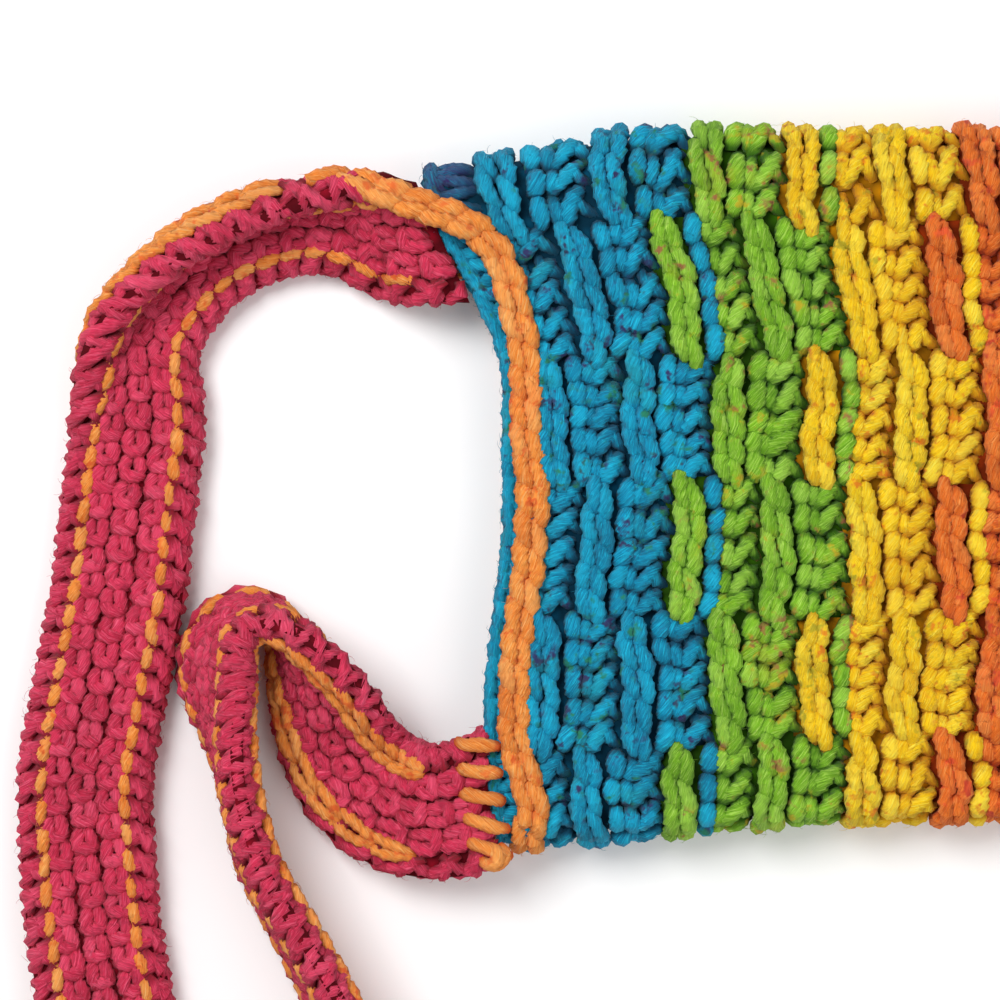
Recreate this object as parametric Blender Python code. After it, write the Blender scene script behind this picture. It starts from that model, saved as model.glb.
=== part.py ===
"""A crochet crossbody bag, lying flat with its mouth towards -X.

The pouch is a flattened tube in a basketweave stitch, closed at its base and worked in five
colours of yarn. A braided rim runs round the mouth, and the strap is sewn on at both of its corners.
Metres, +Z up, resting on Z = 0.
"""

import math

import bpy
from mathutils import Vector

# The middle of the mouth, from which everything below is laid out
MOUTH_AT = (-0.0298, 0.1223)

# Pouch
ROWS = 14                   # crochet rows from the mouth to the base
ROWS_PER_COLOUR = 3
ROW_HEIGHT = 0.0150
LIP_DEPTH = 0.0080          # plain edge before the first row
GROUPS = 10                 # groups of stitches round the pouch
STITCHES = 5                # stitches in a group
FRONT_GROUP = 0.0453        # width of a group on the front
FRONT_FIRST = 0.0843        # the first boundary between groups lies this far below the middle
EDGE_TOP = 0.1115           # how far the pouch reaches above the middle
EDGE_BOTTOM = 0.1145        # and below it
INSIDE_GAP = 0.0110         # between the two walls
WALL_IN = 0.0040            # from the middle of a wall to its inner face
LIP_OUT = 0.0020            # and to the outer face of the lip
GROOVE_OUT = 0.0022         # to the grooves between stitches
GROOVE_CREST = 0.0004       # where a groove crosses the crest of a stitch it is shallower by this much
POST_OUT = 0.0042           # to the crests of the upright stitches
BAR_OUT = 0.0052            # to the crests of the chained bars
BASE_ROUND = 0.0070         # the closed base bulges by this much
CORNER_DRAG = 0.0280        # the strap pulls the upper mouth corner out by this much
DRAG_FROM = 0.0400          # height where that pull starts
DRAG_FADE = 0.0250          # the rows behind the mouth follow it less and less, over this depth
DRAG_KEPT = 0.25            # down to this share
MOUTH_BACK = 0.0020         # the mouth's edge lies this far behind its middle point
MOUTH_DIP = 0.0065          # the lower half of the mouth bows out
DIP_AT = 0.0750             # most at this far below the middle
TOP_FLARE = 0.0110          # the pouch widens behind the mouth
FLARE_REACH = 0.0600        # over this depth
BOTTOM_LIFT = 0.0090        # its lower side rises towards the base
LIFT_REACH = 0.1300         # over this depth
MOUTH_PINCH = 0.0028        # each wall draws in at the mouth, so that the rim lies level with the bars
PINCH_REACH = 0.0200        # and over this depth
SPLIT = 0.0003              # gap between pieces that touch

# Rim braid
RIM_DEPTH = 0.0070          # centre of the braid behind the lip's edge
RIM_WIDTH = 0.0090
RIM_HEIGHT = 0.0040
RIM_SEAT = 0.0010           # clear of the lip, which is ridged
RIM_BEAD = 0.0006           # each loop swells by this much
RIM_LEAN = 0.0006           # its inner side sits higher

# Strap
STRAP_WIDTH = 0.0470
STRAP_THICK = 0.0080
STRAP_FLAT = 0.0141         # the middle of its width that has the full thickness
STRAP_ROUND = 0.0014        # its edges are rounded by this much
STRAP_SCALLOP = 0.0010
STRAP_PITCH = 0.0092        # one row of the strap
UPPER_JOINT = 0.0870        # the joints' places along the mouth
LOWER_JOINT = -0.1000
JOINT_BLEND = 0.0300        # the strap's end turns square to the mouth over this length
SEWN_GAP = 0.0009
CHAIN_INSET = 0.0092        # orange chains in from the strap's edges
CHAIN_SEAT = 0.0005
CHAIN_LIFT = 0.0042         # more, for each radian that the strap turns between two rows
CHAIN_STOP = 0.0140         # and they stop this far before the joints
BRAID_WIDTH = 0.0100
BRAID_HEIGHT = 0.0030
DASH_WIDTH = 0.0055
DASH_HEIGHT = 0.0024
CHAIN_BEAD = 0.18           # share by which each loop swells

# Whip stitches
WHIPS = {"lower": 5, "upper": 3}
WHIP_PITCH = 0.0090
WHIP_WIDTH = 0.0040
WHIP_THICK = 0.0022
WHIP_RISE = 0.0014
WHIP_ON_STRAP = 0.0070
WHIP_ON_LIP = 0.0012
# Along the joint's normal, the face it lies on (strap, the higher of both, lip), and its rise
WHIP_PROFILE = ((-WHIP_ON_STRAP, "strap", 0.0), (-WHIP_ON_STRAP / 2, "higher", 1.0),
                (0.0, "higher", 1.0), (WHIP_ON_LIP, "lip", 0.4))

# The strap's route from the upper joint to the lower one: x and y from the middle of the mouth in
# millimetres, then in degrees its tilt (0 with the dashes up, 90 on edge, 180 with the braids up) and
# how far its outer side curls over, and the least height of its centre in millimetres.
ROUTE = (
    (-29, 88, 0, 0, 20), (-40, 89, 12, 32, 16), (-53, 90, 20, 82, 8), (-68, 90, 20, 118, 0),
    (-85, 85, 18, 134, 0), (-100, 76, 15, 130, 0), (-113, 62, 12, 110, 0), (-120, 48, 8, 70, 0),
    (-123, 32, 5, 30, 0), (-125, 15, 0, 0, 0), (-128, -7, 0, 0, 0), (-131, -34, 0, 0, 0),
    (-137, -65, 0, 0, 0), (-142, -95, 0, 0, 0), (-141, -122, 3, 0, 0), (-139, -146, 6, 0, 0),
    (-133, -184, 10, 0, 0), (-128, -224, 15, 0, 0), (-122, -269, 22, 0, 0), (-114, -306, 30, 0, 0),
    (-97, -340, 38, 0, 0), (-68, -357, 46, 0, 0), (-39, -343, 52, 0, 0), (-26, -309, 57, 0, 0),
    (-26, -269, 62, 0, 0), (-34, -228, 67, 0, 0), (-48, -190, 72, 0, 0), (-63, -158, 76, 0, 0),
    (-80, -127, 80, 0, 0), (-85, -112, 82, 0, 0), (-89, -95, 82, 0, 0), (-92, -80, 76, 0, 0),
    (-95, -67, 64, 0, 0), (-96, -55, 58, 0, 0), (-92, -44, 66, 0, 0), (-82, -39, 80, 0, 0),
    (-72, -44, 98, 0, 0), (-66, -56, 119, 0, 0), (-60, -70, 141, 0, 0), (-53, -87, 160, 0, 0),
    (-43, -99, 172, 0, 10), (-30, -105, 177, 0, 17), (-16, -105, 180, 0, 20),
)
UNSEEN = (0.31, 0.77)       # the plain stretch of the route has rows twice as long

WALL_HALF = INSIDE_GAP / 2 + WALL_IN            # from the pouch's middle plane to the middle of a wall
POUCH_MID = WALL_HALF + BAR_OUT                 # height of that plane
LIP_MID = POUCH_MID + WALL_HALF - MOUTH_PINCH   # height of the middle of the front lip
STRAP_HEIGHT = LIP_MID + (LIP_OUT - WALL_IN) / 2    # the strap meets the middle of the lip's edge
FRONT_GROUPS = 4
FOLD_COLUMNS = 4

COLOURS = {
    "teal_band": (0.0, 0.24, 0.42), "green_band": (0.19, 0.46, 0.03), "yellow_band": (0.95, 0.60, 0.01),
    "orange_band": (0.83, 0.17, 0.02), "pink_base": (0.60, 0.03, 0.10),
    "rim_braid": (0.90, 0.30, 0.05), "strap": (0.60, 0.03, 0.10),
}
YARN_ROUGHNESS = 0.9


def clear_scene():
    for item in list(bpy.data.objects):
        bpy.data.objects.remove(item, do_unlink=True)


def smooth(value):
    value = min(1.0, max(0.0, value))
    return value * value * (3 - 2 * value)


def sign_of(value):
    return (value > 0) - (value < 0)


def yarn(name, colour):
    material = bpy.data.materials.new(name + "_yarn")
    material.use_nodes = True
    shader = material.node_tree.nodes["Principled BSDF"]
    shader.inputs["Base Color"].default_value = (*colour, 1.0)
    shader.inputs["Roughness"].default_value = YARN_ROUGHNESS
    shader.inputs["Metallic"].default_value = 0.0
    return material


def add_object(name, points, faces, colour):
    mesh = bpy.data.meshes.new(name)
    mesh.from_pydata([tuple(p) for p in points], [], faces)
    mesh.validate()
    mesh.materials.append(yarn(name, colour))
    item = bpy.data.objects.new(name, mesh)
    item.location = (*MOUTH_AT, 0.0)
    bpy.context.scene.collection.objects.link(item)
    return item


# The pouch's outline

def mouth_edge(y):
    """How far the mouth's edge lies towards +X at height y."""
    pulled = CORNER_DRAG * smooth((y - DRAG_FROM) / (EDGE_TOP - DRAG_FROM))
    bowed = MOUTH_DIP * math.sin(math.pi / 2 * min(0.0, y) / DIP_AT) ** 2
    return MOUTH_BACK - pulled - bowed


def outline(along):
    """A place on the middle of the wall, from the lower fold over the front: y, z and the way out."""
    quarter = math.pi / 2 * WALL_HALF
    flat = EDGE_TOP + EDGE_BOTTOM - 2 * WALL_HALF
    low = WALL_HALF - EDGE_BOTTOM
    around = 2 * flat + 4 * quarter
    along = (along + quarter) % around
    if along < 2 * quarter:
        turn = along / WALL_HALF
        side = (-math.sin(turn), -math.cos(turn))
        return low + WALL_HALF * side[0], WALL_HALF * side[1], side
    along -= 2 * quarter
    if along < flat:
        return low + along, WALL_HALF, (0.0, 1.0)
    along -= flat
    if along < 2 * quarter:
        turn = along / WALL_HALF
        side = (math.sin(turn), math.cos(turn))
        return low + flat + WALL_HALF * side[0], WALL_HALF * side[1], side
    along -= 2 * quarter
    return low + flat - along, -WALL_HALF, (0.0, -1.0)


def group_starts():
    """Where each group of stitches starts round the outline, with the first one at the lower fold."""
    quarter = math.pi / 2 * WALL_HALF
    around = 2 * (EDGE_TOP + EDGE_BOTTOM - 2 * WALL_HALF) + 4 * quarter
    first = quarter + EDGE_BOTTOM - WALL_HALF - FRONT_FIRST
    rest = (around - FRONT_GROUPS * FRONT_GROUP) / (GROUPS - FRONT_GROUPS)
    widths = [rest] + [FRONT_GROUP] * FRONT_GROUPS + [rest] * (GROUPS - FRONT_GROUPS - 1)
    starts = [first - rest]
    for width in widths:
        starts.append(starts[-1] + width)
    return starts


def on_pouch(along, depth, out):
    """A point of the pouch, `out` from the middle of its wall and `depth` behind the mouth's edge."""
    y, z, side = outline(along)
    y += out * side[0]
    z += out * side[1]
    z -= side[1] * MOUTH_PINCH * math.exp(-(depth / PINCH_REACH) ** 2)
    hold = DRAG_KEPT + (1 - DRAG_KEPT) * math.exp(-depth / DRAG_FADE)
    x = depth + MOUTH_BACK + (mouth_edge(y) - MOUTH_BACK) * hold
    if y > 0:
        y += TOP_FLARE * smooth(depth / FLARE_REACH) * (y / EDGE_TOP) ** 2
    else:
        y += BOTTOM_LIFT * smooth(depth / LIFT_REACH) * (y / EDGE_BOTTOM) ** 2
    return Vector((x, y, z + POUCH_MID))


def is_bar(row, group):
    return (row + group) % 2 == 1


def colour_of(row, group):
    """The yarn of a block of stitches: an upright block belongs to the bar before it."""
    source = row if is_bar(row, group) else row - 1
    return max(0, min(source, ROWS - 1)) // ROWS_PER_COLOUR


class Pouch:
    """The grid of the pouch: lines across it at every half row, columns round it at every half stitch."""

    def __init__(self):
        starts = group_starts()
        per_group = 2 * STITCHES
        self.columns = []
        for group in range(GROUPS):
            step = (starts[group + 1] - starts[group]) / per_group
            self.columns += [starts[group] + step * k for k in range(per_group)]
        self.per_group = per_group
        self.count = len(self.columns)
        self.depths = [0.0] + [LIP_DEPTH + ROW_HEIGHT * k / 2 for k in range(2 * ROWS + 1)]

    def height(self, line, column):
        """How far the outer face stands out at a crossing of the grid."""
        if line <= 1:
            return LIP_OUT
        group, place = divmod(column % self.count, self.per_group)
        crest = place % 2 == 1
        row, half = divmod(line - 1, 2)
        if half == 0:
            return GROOVE_OUT + (GROOVE_CREST if crest else 0.0)
        if is_bar(row, group):
            return GROOVE_OUT if place == 0 else BAR_OUT
        return POST_OUT if crest else GROOVE_OUT

    def row_of(self, line):
        """The row that the strip after this line belongs to."""
        return max(0, (line - 1) // 2)

    def owner(self, line, column):
        """The colour of the piece of grid after this line and column, or None outside it."""
        if line < 0 or line > 2 * ROWS:
            return None
        if line == 0:
            return 0
        return colour_of(self.row_of(line), (column % self.count) // self.per_group)

    def inner_columns(self, group):
        """Columns of the inner face: few on the flats, more where a group goes round a fold."""
        if group in (0, FRONT_GROUPS + 1):
            picks = [round(self.per_group * k / FOLD_COLUMNS) for k in range(FOLD_COLUMNS)]
        else:
            picks = [0]
        return [group * self.per_group + p for p in picks]


def shift_at(pouch, band, line, column):
    """Which way a corner of a band draws back from its neighbours: along the rows, then along the depth."""
    owned = {}
    for over in (-1, 0):
        for back in (-1, 0):
            owned[over, back] = pouch.owner(line + over, column + back) == band
    deeper = owned[0, -1] + owned[0, 0] - owned[-1, -1] - owned[-1, 0]
    onward = owned[-1, 0] + owned[0, 0] - owned[-1, -1] - owned[0, -1]
    return sign_of(onward), 0 if line == 0 else sign_of(deeper)


class Band:
    """One colour of the pouch as a closed body."""

    def __init__(self, pouch, band):
        self.pouch = pouch
        self.band = band
        self.points = []
        self.faces = []
        self.index = {}
        self.last = 2 * ROWS + 1

    def vertex(self, skin, line, column):
        """The number of a point on the outer (1) or inner (0) skin."""
        column %= self.pouch.count
        key = (skin, line, column)
        if key not in self.index:
            onward, deeper = shift_at(self.pouch, self.band, line, column)
            if line == self.last:
                deeper = 0
            along = self.pouch.columns[column] + onward * SPLIT / 2
            depth = self.pouch.depths[line] + deeper * SPLIT / 2
            out = self.pouch.height(line, column) if skin else -WALL_IN
            self.index[key] = len(self.points)
            self.points.append(on_pouch(along, depth, out))
        return self.index[key]

    def outer_faces(self):
        pouch = self.pouch
        for line in range(self.last):
            for column in range(pouch.count):
                if pouch.owner(line, column) == self.band:
                    self.faces.append((
                        self.vertex(1, line, column), self.vertex(1, line + 1, column),
                        self.vertex(1, line + 1, column + 1), self.vertex(1, line, column + 1)))

    def lines(self):
        """Pairs of lines that bound the lip and each row."""
        return [(0, 1)] + [(1 + 2 * row, 3 + 2 * row) for row in range(ROWS)]

    def inner_run(self, group):
        columns = self.pouch.inner_columns(group)
        return columns + [(group + 1) * self.pouch.per_group]

    def inner_faces(self):
        for low, high in self.lines():
            for group in range(GROUPS):
                first = group * self.pouch.per_group
                if self.pouch.owner(low, first) != self.band:
                    continue
                run = self.inner_run(group)
                for left, right in zip(run, run[1:]):
                    self.faces.append((
                        self.vertex(0, low, left), self.vertex(0, low, right),
                        self.vertex(0, high, right), self.vertex(0, high, left)))

    def ring_wall(self, line, group, faces_mouth):
        """The wall of a block along a row's edge, from the outer skin to the inner one."""
        first = group * self.pouch.per_group
        outer = [self.vertex(1, line, first + k) for k in range(self.pouch.per_group + 1)]
        inner = [self.vertex(0, line, c) for c in self.inner_run(group)]
        self.strip(outer, inner, not faces_mouth)

    def strip(self, outer, inner, flip):
        """Triangles between two runs of points that start and end side by side."""
        i = j = 0
        while i < len(outer) - 1 or j < len(inner) - 1:
            on_outer = j == len(inner) - 1 or (i < len(outer) - 1 and
                                               (i + 1) / (len(outer) - 1) <= (j + 1) / (len(inner) - 1))
            if on_outer:
                face = (outer[i], outer[i + 1], inner[j])
                i += 1
            else:
                face = (outer[i], inner[j + 1], inner[j])
                j += 1
            self.faces.append(tuple(reversed(face)) if flip else face)

    def side_wall(self, low, high, column, flip):
        """The wall of a block along a column, where the next group has another colour."""
        outer = [self.vertex(1, line, column) for line in range(low, high + 1)]
        inner = [self.vertex(0, low, column), self.vertex(0, high, column)]
        self.strip(outer, inner, flip)

    def walls(self):
        pouch = self.pouch
        for low, high in self.lines():
            for group in range(GROUPS):
                column = group * pouch.per_group
                if pouch.owner(low, column) != self.band:
                    continue
                if low == 0 or pouch.owner(low - 1, column) != self.band:
                    self.ring_wall(low, group, True)
                if high < self.last and pouch.owner(high, column) != self.band:
                    self.ring_wall(high, group, False)
                if pouch.owner(low, column - 1) != self.band:
                    self.side_wall(low, high, column, True)
                if pouch.owner(low, column + pouch.per_group) != self.band:
                    self.side_wall(low, high, column + pouch.per_group, False)

    def closed_end(self):
        """The base: the outer skin rounds over, and the inner one is closed flat."""
        pouch = self.pouch
        depth = pouch.depths[-1]
        ring = [self.vertex(1, self.last, c) for c in range(pouch.count)]
        rounded = []
        for column in range(0, pouch.count, 2):
            point = on_pouch(pouch.columns[column], depth + 0.7 * BASE_ROUND, 0.0)
            point.z = POUCH_MID + 0.55 * (point.z - POUCH_MID)
            rounded.append(len(self.points))
            self.points.append(point)
        self.strip(ring + ring[:1], rounded + rounded[:1], True)
        self.fan(rounded, depth + BASE_ROUND, False)
        inner = []
        for group in range(GROUPS):
            inner += [self.vertex(0, self.last, c) for c in pouch.inner_columns(group)]
        self.fan(inner, depth, True)

    def fan(self, ring, depth, flip):
        middle = len(self.points)
        self.points.append(Vector((depth, (EDGE_TOP - EDGE_BOTTOM) / 2, POUCH_MID)))
        for k in range(len(ring)):
            face = (ring[k], middle, ring[(k + 1) % len(ring)])
            self.faces.append(tuple(reversed(face)) if flip else face)


def add_pouch():
    pouch = Pouch()
    names = ("teal_band", "green_band", "yellow_band", "orange_band", "pink_base")
    for number, name in enumerate(names):
        band = Band(pouch, number)
        band.outer_faces()
        band.inner_faces()
        band.walls()
        if number == len(names) - 1:
            band.closed_end()
        add_object(name, band.points, band.faces, COLOURS[name])
    return pouch


# Swept pieces

def swept_faces(stations, sides, closed, reversed_sides=()):
    """Triangles of a tube whose stations have the same number of points each.

    Each side is cut from its first point to the second one of the next station, and those in
    reversed_sides the other way, so that pieces lying on each other are cut alike."""
    faces = []
    spans = stations if closed else stations - 1
    for k in range(spans):
        here = k * sides
        there = (k + 1) % stations * sides
        for side in range(sides):
            after = (side + 1) % sides
            if side in reversed_sides:
                faces.append((here + side, here + after, there + side))
                faces.append((here + after, there + after, there + side))
            else:
                faces.append((here + side, here + after, there + after))
                faces.append((here + side, there + after, there + side))
    if not closed:
        faces.append(tuple(reversed(range(sides))))
        faces.append(tuple((stations - 1) * sides + side for side in range(sides)))
    return faces


def add_rim(pouch):
    """The braid round the mouth: a beaded ring that follows the lip's outer face."""
    points = []
    count = 0
    low = outline(0.0)[0] + WALL_HALF
    high = low + EDGE_TOP + EDGE_BOTTOM - 2 * WALL_HALF
    for column in range(pouch.count):
        y, _, _ = outline(pouch.columns[column])
        at_fold = y < low + ROW_HEIGHT / 3 or y > high - ROW_HEIGHT / 3
        if column % 2 and not at_fold:
            continue
        swell = RIM_BEAD if count % 2 else 0.0
        base = LIP_OUT + RIM_SEAT
        half = RIM_WIDTH / 2 + swell
        top = base + RIM_HEIGHT + swell
        section = ((-half * 0.6, base), (half * 0.5, base + RIM_LEAN), (half, base + RIM_HEIGHT * 0.55),
                   (0.0, top), (-half, base + RIM_HEIGHT * 0.5))
        for across, out in section:
            points.append(on_pouch(pouch.columns[column], RIM_DEPTH + across, out))
        count += 1
    faces = [tuple(reversed(f)) for f in swept_faces(count, 5, True)]
    add_object("rim_braid", points, faces, COLOURS["rim_braid"])


# The strap

def joint(y):
    """The point where the strap meets the mouth at height y, and the mouth's direction there."""
    half = STRAP_WIDTH / 2
    tangent = Vector((mouth_edge(y + half) - mouth_edge(y - half), 2 * half, 0.0)).normalized()
    return Vector((mouth_edge(y) - SEWN_GAP, y, 0.0)), tangent


def spline(points, at):
    """A smooth curve through rows of numbers, at a place counted in rows."""
    k = min(int(at), len(points) - 2)
    t = at - k
    p0 = points[max(k - 1, 0)]
    p1 = points[k]
    p2 = points[k + 1]
    p3 = points[min(k + 2, len(points) - 1)]
    result = []
    for a, b, c, d in zip(p0, p1, p2, p3):
        result.append(0.5 * (2 * b + (c - a) * t + (2 * a - 5 * b + 4 * c - d) * t * t
                             + (3 * b - a - 3 * c + d) * t * t * t))
    return result


def route_rows():
    start, _ = joint(UPPER_JOINT)
    finish, _ = joint(LOWER_JOINT)
    height = STRAP_HEIGHT * 1000
    rows = [(start.x * 1000, start.y * 1000, 0, 0, height)]
    rows += [tuple(row) for row in ROUTE]
    rows.append((finish.x * 1000, finish.y * 1000, 180, 0, height))
    return rows


def strap_stations():
    """Places along the route, a row of the strap apart, as numbers that the spline takes."""
    rows = route_rows()
    places = [k / ROUTE_STEPS for k in range((len(rows) - 1) * ROUTE_STEPS + 1)]
    lengths = [0.0]
    last = spline(rows, 0.0)
    for at in places[1:]:
        here = spline(rows, at)
        lengths.append(lengths[-1] + math.hypot(here[0] - last[0], here[1] - last[1]) / 1000)
        last = here
    total = lengths[-1]
    marks = [0.0]
    while marks[-1] < total - 1.5 * STRAP_PITCH:
        hidden = UNSEEN[0] < marks[-1] / total < UNSEEN[1]
        marks.append(marks[-1] + STRAP_PITCH * (2 if hidden else 1))
    marks[-1] = (marks[-2] + total) / 2
    marks.append(total)
    stations = []
    k = 0
    for mark in marks:
        while k < len(lengths) - 2 and lengths[k + 1] < mark:
            k += 1
        share = (mark - lengths[k]) / (lengths[k + 1] - lengths[k])
        stations.append((places[k] + min(1.0, share) / ROUTE_STEPS, mark, total))
    return rows, stations


# Shares of the strap's width where its section has corners
SECTION = (STRAP_ROUND / STRAP_WIDTH, 0.5 - STRAP_FLAT / STRAP_WIDTH / 2,
           0.5 + STRAP_FLAT / STRAP_WIDTH / 2, 1 - STRAP_ROUND / STRAP_WIDTH)
SECTION_STEPS = 40
ROUTE_STEPS = 40
EDGE_THIN = 0.7          # the strap's edges are thinner by this share


def section_line(tilt, curl):
    """The middle of the strap's section from its inner edge to its outer one: outward, up and angle."""
    line = []
    outward = up = 0.0
    for k in range(SECTION_STEPS + 1):
        share = k / SECTION_STEPS
        angle = math.radians(tilt + curl * smooth((share - 0.30) / 0.70))
        line.append((outward, up, angle))
        outward += math.cos(angle) * STRAP_WIDTH / SECTION_STEPS
        up += math.sin(angle) * STRAP_WIDTH / SECTION_STEPS
    middle = (min(p[0] for p in line) + max(p[0] for p in line)) / 2
    centre = (min(p[1] for p in line) + max(p[1] for p in line)) / 2
    return [(p[0] - middle, p[1] - centre, p[2]) for p in line]


def off_facet(a, b, mix, out):
    """A point off the straight facet between two corners of the section."""
    run = math.hypot(b[0] - a[0], b[1] - a[1])
    normal = (-(b[1] - a[1]) / run, (b[0] - a[0]) / run)
    return (a[0] + (b[0] - a[0]) * mix + normal[0] * out, a[1] + (b[1] - a[1]) * mix + normal[1] * out)


class Station:
    """A place on the strap, with the frame that its section is drawn in."""

    def __init__(self, rows, number, at, mark, total):
        x, y, tilt, curl, floor = spline(rows, at)
        ahead = spline(rows, min(at + 0.02, len(rows) - 1))
        behind = spline(rows, max(at - 0.02, 0))
        tangent = Vector((ahead[0] - behind[0], ahead[1] - behind[1], 0.0)).normalized()
        outward = Vector((tangent.y, -tangent.x, 0.0))
        for y_joint, away, sign in ((UPPER_JOINT, mark, 1), (LOWER_JOINT, total - mark, -1)):
            square = joint(y_joint)[1] * sign
            weight = 1 - smooth(away / JOINT_BLEND)
            outward = (outward * (1 - weight) + square * weight).normalized()
        self.outward = outward
        self.mark = mark
        self.total = total
        self.scallop = STRAP_SCALLOP * (1 if number % 2 else -1)
        self.swell = 1 + CHAIN_BEAD * (1 if number % 2 else -1)
        self.line = section_line(max(0.0, tilt), max(0.0, curl))
        self.origin = Vector((x / 1000, y / 1000, 0.0))
        self.floor = floor / 1000
        self.turns = [0.0, 0.0]

    def settle(self, neighbours):
        """Lays the section on the ground, and notes how far its sides turn towards the next ones."""
        for outer in (0, 1):
            middle = self.line[round((0.2 + 0.6 * outer) * SECTION_STEPS)][2]
            others = [n.line[round((0.2 + 0.6 * outer) * SECTION_STEPS)][2] for n in neighbours]
            self.turns[outer] = max(abs(middle - other) for other in others)
        low = min(self.flat_points(), key=lambda p: p[1])[1]
        self.origin.z = max(self.floor, -low)

    def flat_points(self):
        """Every corner of the section, chains included."""
        points = self.strap_section()
        for outer in (False, True):
            for braid in (False, True):
                points += self.chain_section(outer, braid)
        return points

    def place(self, point):
        return self.origin + self.outward * point[0] + Vector((0, 0, point[1]))

    def corner(self, k, face):
        """A corner of the strap's section on the dash face (1) or the braid face (-1)."""
        last = len(SECTION) - 1
        out, up, angle = self.line[round(SECTION[k] * SECTION_STEPS)]
        edge = self.scallop * (1 if k == last else -1 if k == 0 else 0)
        reach = STRAP_THICK / 2 * face * (EDGE_THIN if k in (0, last) else 1.0)
        return (out + math.cos(angle) * edge - math.sin(angle) * reach,
                up + math.sin(angle) * edge + math.cos(angle) * reach)

    def strap_section(self):
        count = len(SECTION)
        dash_side = [self.corner(k, 1) for k in range(count)]
        braid_side = [self.corner(k, -1) for k in range(count)]
        return dash_side + braid_side[::-1]

    def chain_section(self, outer, braid):
        """A low ridge on one face, by the outer or the inner edge."""
        inset = CHAIN_INSET / STRAP_WIDTH
        first = len(SECTION) - 2 if outer else 0
        low, high = SECTION[first:first + 2]
        centre = 1 - inset if outer else inset
        width = (BRAID_WIDTH if braid else DASH_WIDTH) * self.swell / STRAP_WIDTH
        height = (BRAID_HEIGHT if braid else DASH_HEIGHT) * self.swell
        face = -1 if braid else 1
        ends = self.corner(first, face), self.corner(first + 1, face)
        seat = CHAIN_SEAT + CHAIN_LIFT * self.turns[1 if outer else 0]
        spots = ((centre - width / 2, seat), (centre + width / 2, seat), (centre, seat + height))
        return [off_facet(*ends, (share - low) / (high - low), face * out) for share, out in spots]


def add_strap():
    rows, places = strap_stations()
    stations = [Station(rows, k, at, mark, total) for k, (at, mark, total) in enumerate(places)]
    for k, station in enumerate(stations):
        station.settle(stations[max(0, k - 1):k + 2])
    points = [s.place(p) for s in stations for p in s.strap_section()]
    sides = 2 * len(SECTION)
    faces = swept_faces(len(stations), sides, False, range(len(SECTION), sides - 1))
    add_object("strap", points, faces, COLOURS["strap"])
    inside = [s for s in stations if CHAIN_STOP < s.mark < s.total - CHAIN_STOP]
    for braid, kind in ((True, "braid"), (False, "dashes")):
        for outer, side in ((True, "outer"), (False, "inner")):
            points = [s.place(p) for s in inside for p in s.chain_section(outer, braid)]
            faces = swept_faces(len(inside), 3, False)
            if not braid:
                faces = [tuple(reversed(f)) for f in faces]
            add_object("strap_%s_%s" % (kind, side), points, faces, COLOURS["rim_braid"])


# Whip stitches

def strap_rise(offset):
    """How far the strap's face stands off its middle, this far from its centre line."""
    share = 0.5 + abs(offset) / STRAP_WIDTH
    thinned = max(0.0, share - SECTION[-2]) / (SECTION[-1] - SECTION[-2])
    return STRAP_THICK / 2 * (1 - (1 - EDGE_THIN) * thinned)


def add_whips(side, y_joint, face):
    """A row of stitches over a joint, above it (1) or below it (-1)."""
    _, tangent = joint(y_joint)
    across = Vector((tangent.y, -tangent.x, 0.0))
    lip_face = LIP_MID + (LIP_OUT if face > 0 else -WALL_IN) + face * SPLIT
    for number in range(WHIPS[side]):
        offset = WHIP_PITCH * (number - (WHIPS[side] - 1) / 2)
        strap_face = STRAP_HEIGHT + face * (strap_rise(offset) + CHAIN_SEAT)
        higher = max(strap_face * face, lip_face * face) * face
        heights = {"strap": strap_face, "higher": higher, "lip": lip_face}
        y = y_joint + offset * tangent.y
        edge = Vector((mouth_edge(y) - SEWN_GAP / 2, y, 0.0))
        points = []
        for along, level, rise in WHIP_PROFILE:
            for beside, thick in ((-0.5, 0.0), (0.5, 0.0), (0.3, 1.0), (-0.3, 1.0)):
                spot = edge + across * along + tangent * (beside * WHIP_WIDTH)
                spot.z = heights[level] + face * (rise * WHIP_RISE + thick * WHIP_THICK)
                points.append(spot)
        faces = swept_faces(len(WHIP_PROFILE), 4, False)
        if face < 0:
            faces = [tuple(reversed(f)) for f in faces]
        add_object("whip_%s_%d" % (side, number + 1), points, faces, COLOURS["rim_braid"])


def main():
    clear_scene()
    pouch = add_pouch()
    add_rim(pouch)
    add_strap()
    add_whips("lower", LOWER_JOINT, 1)
    add_whips("upper", UPPER_JOINT, -1)


main()
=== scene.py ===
import bisect
import math
import random

import bmesh
import bpy
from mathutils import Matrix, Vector
from mathutils.bvhtree import BVHTree


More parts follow.
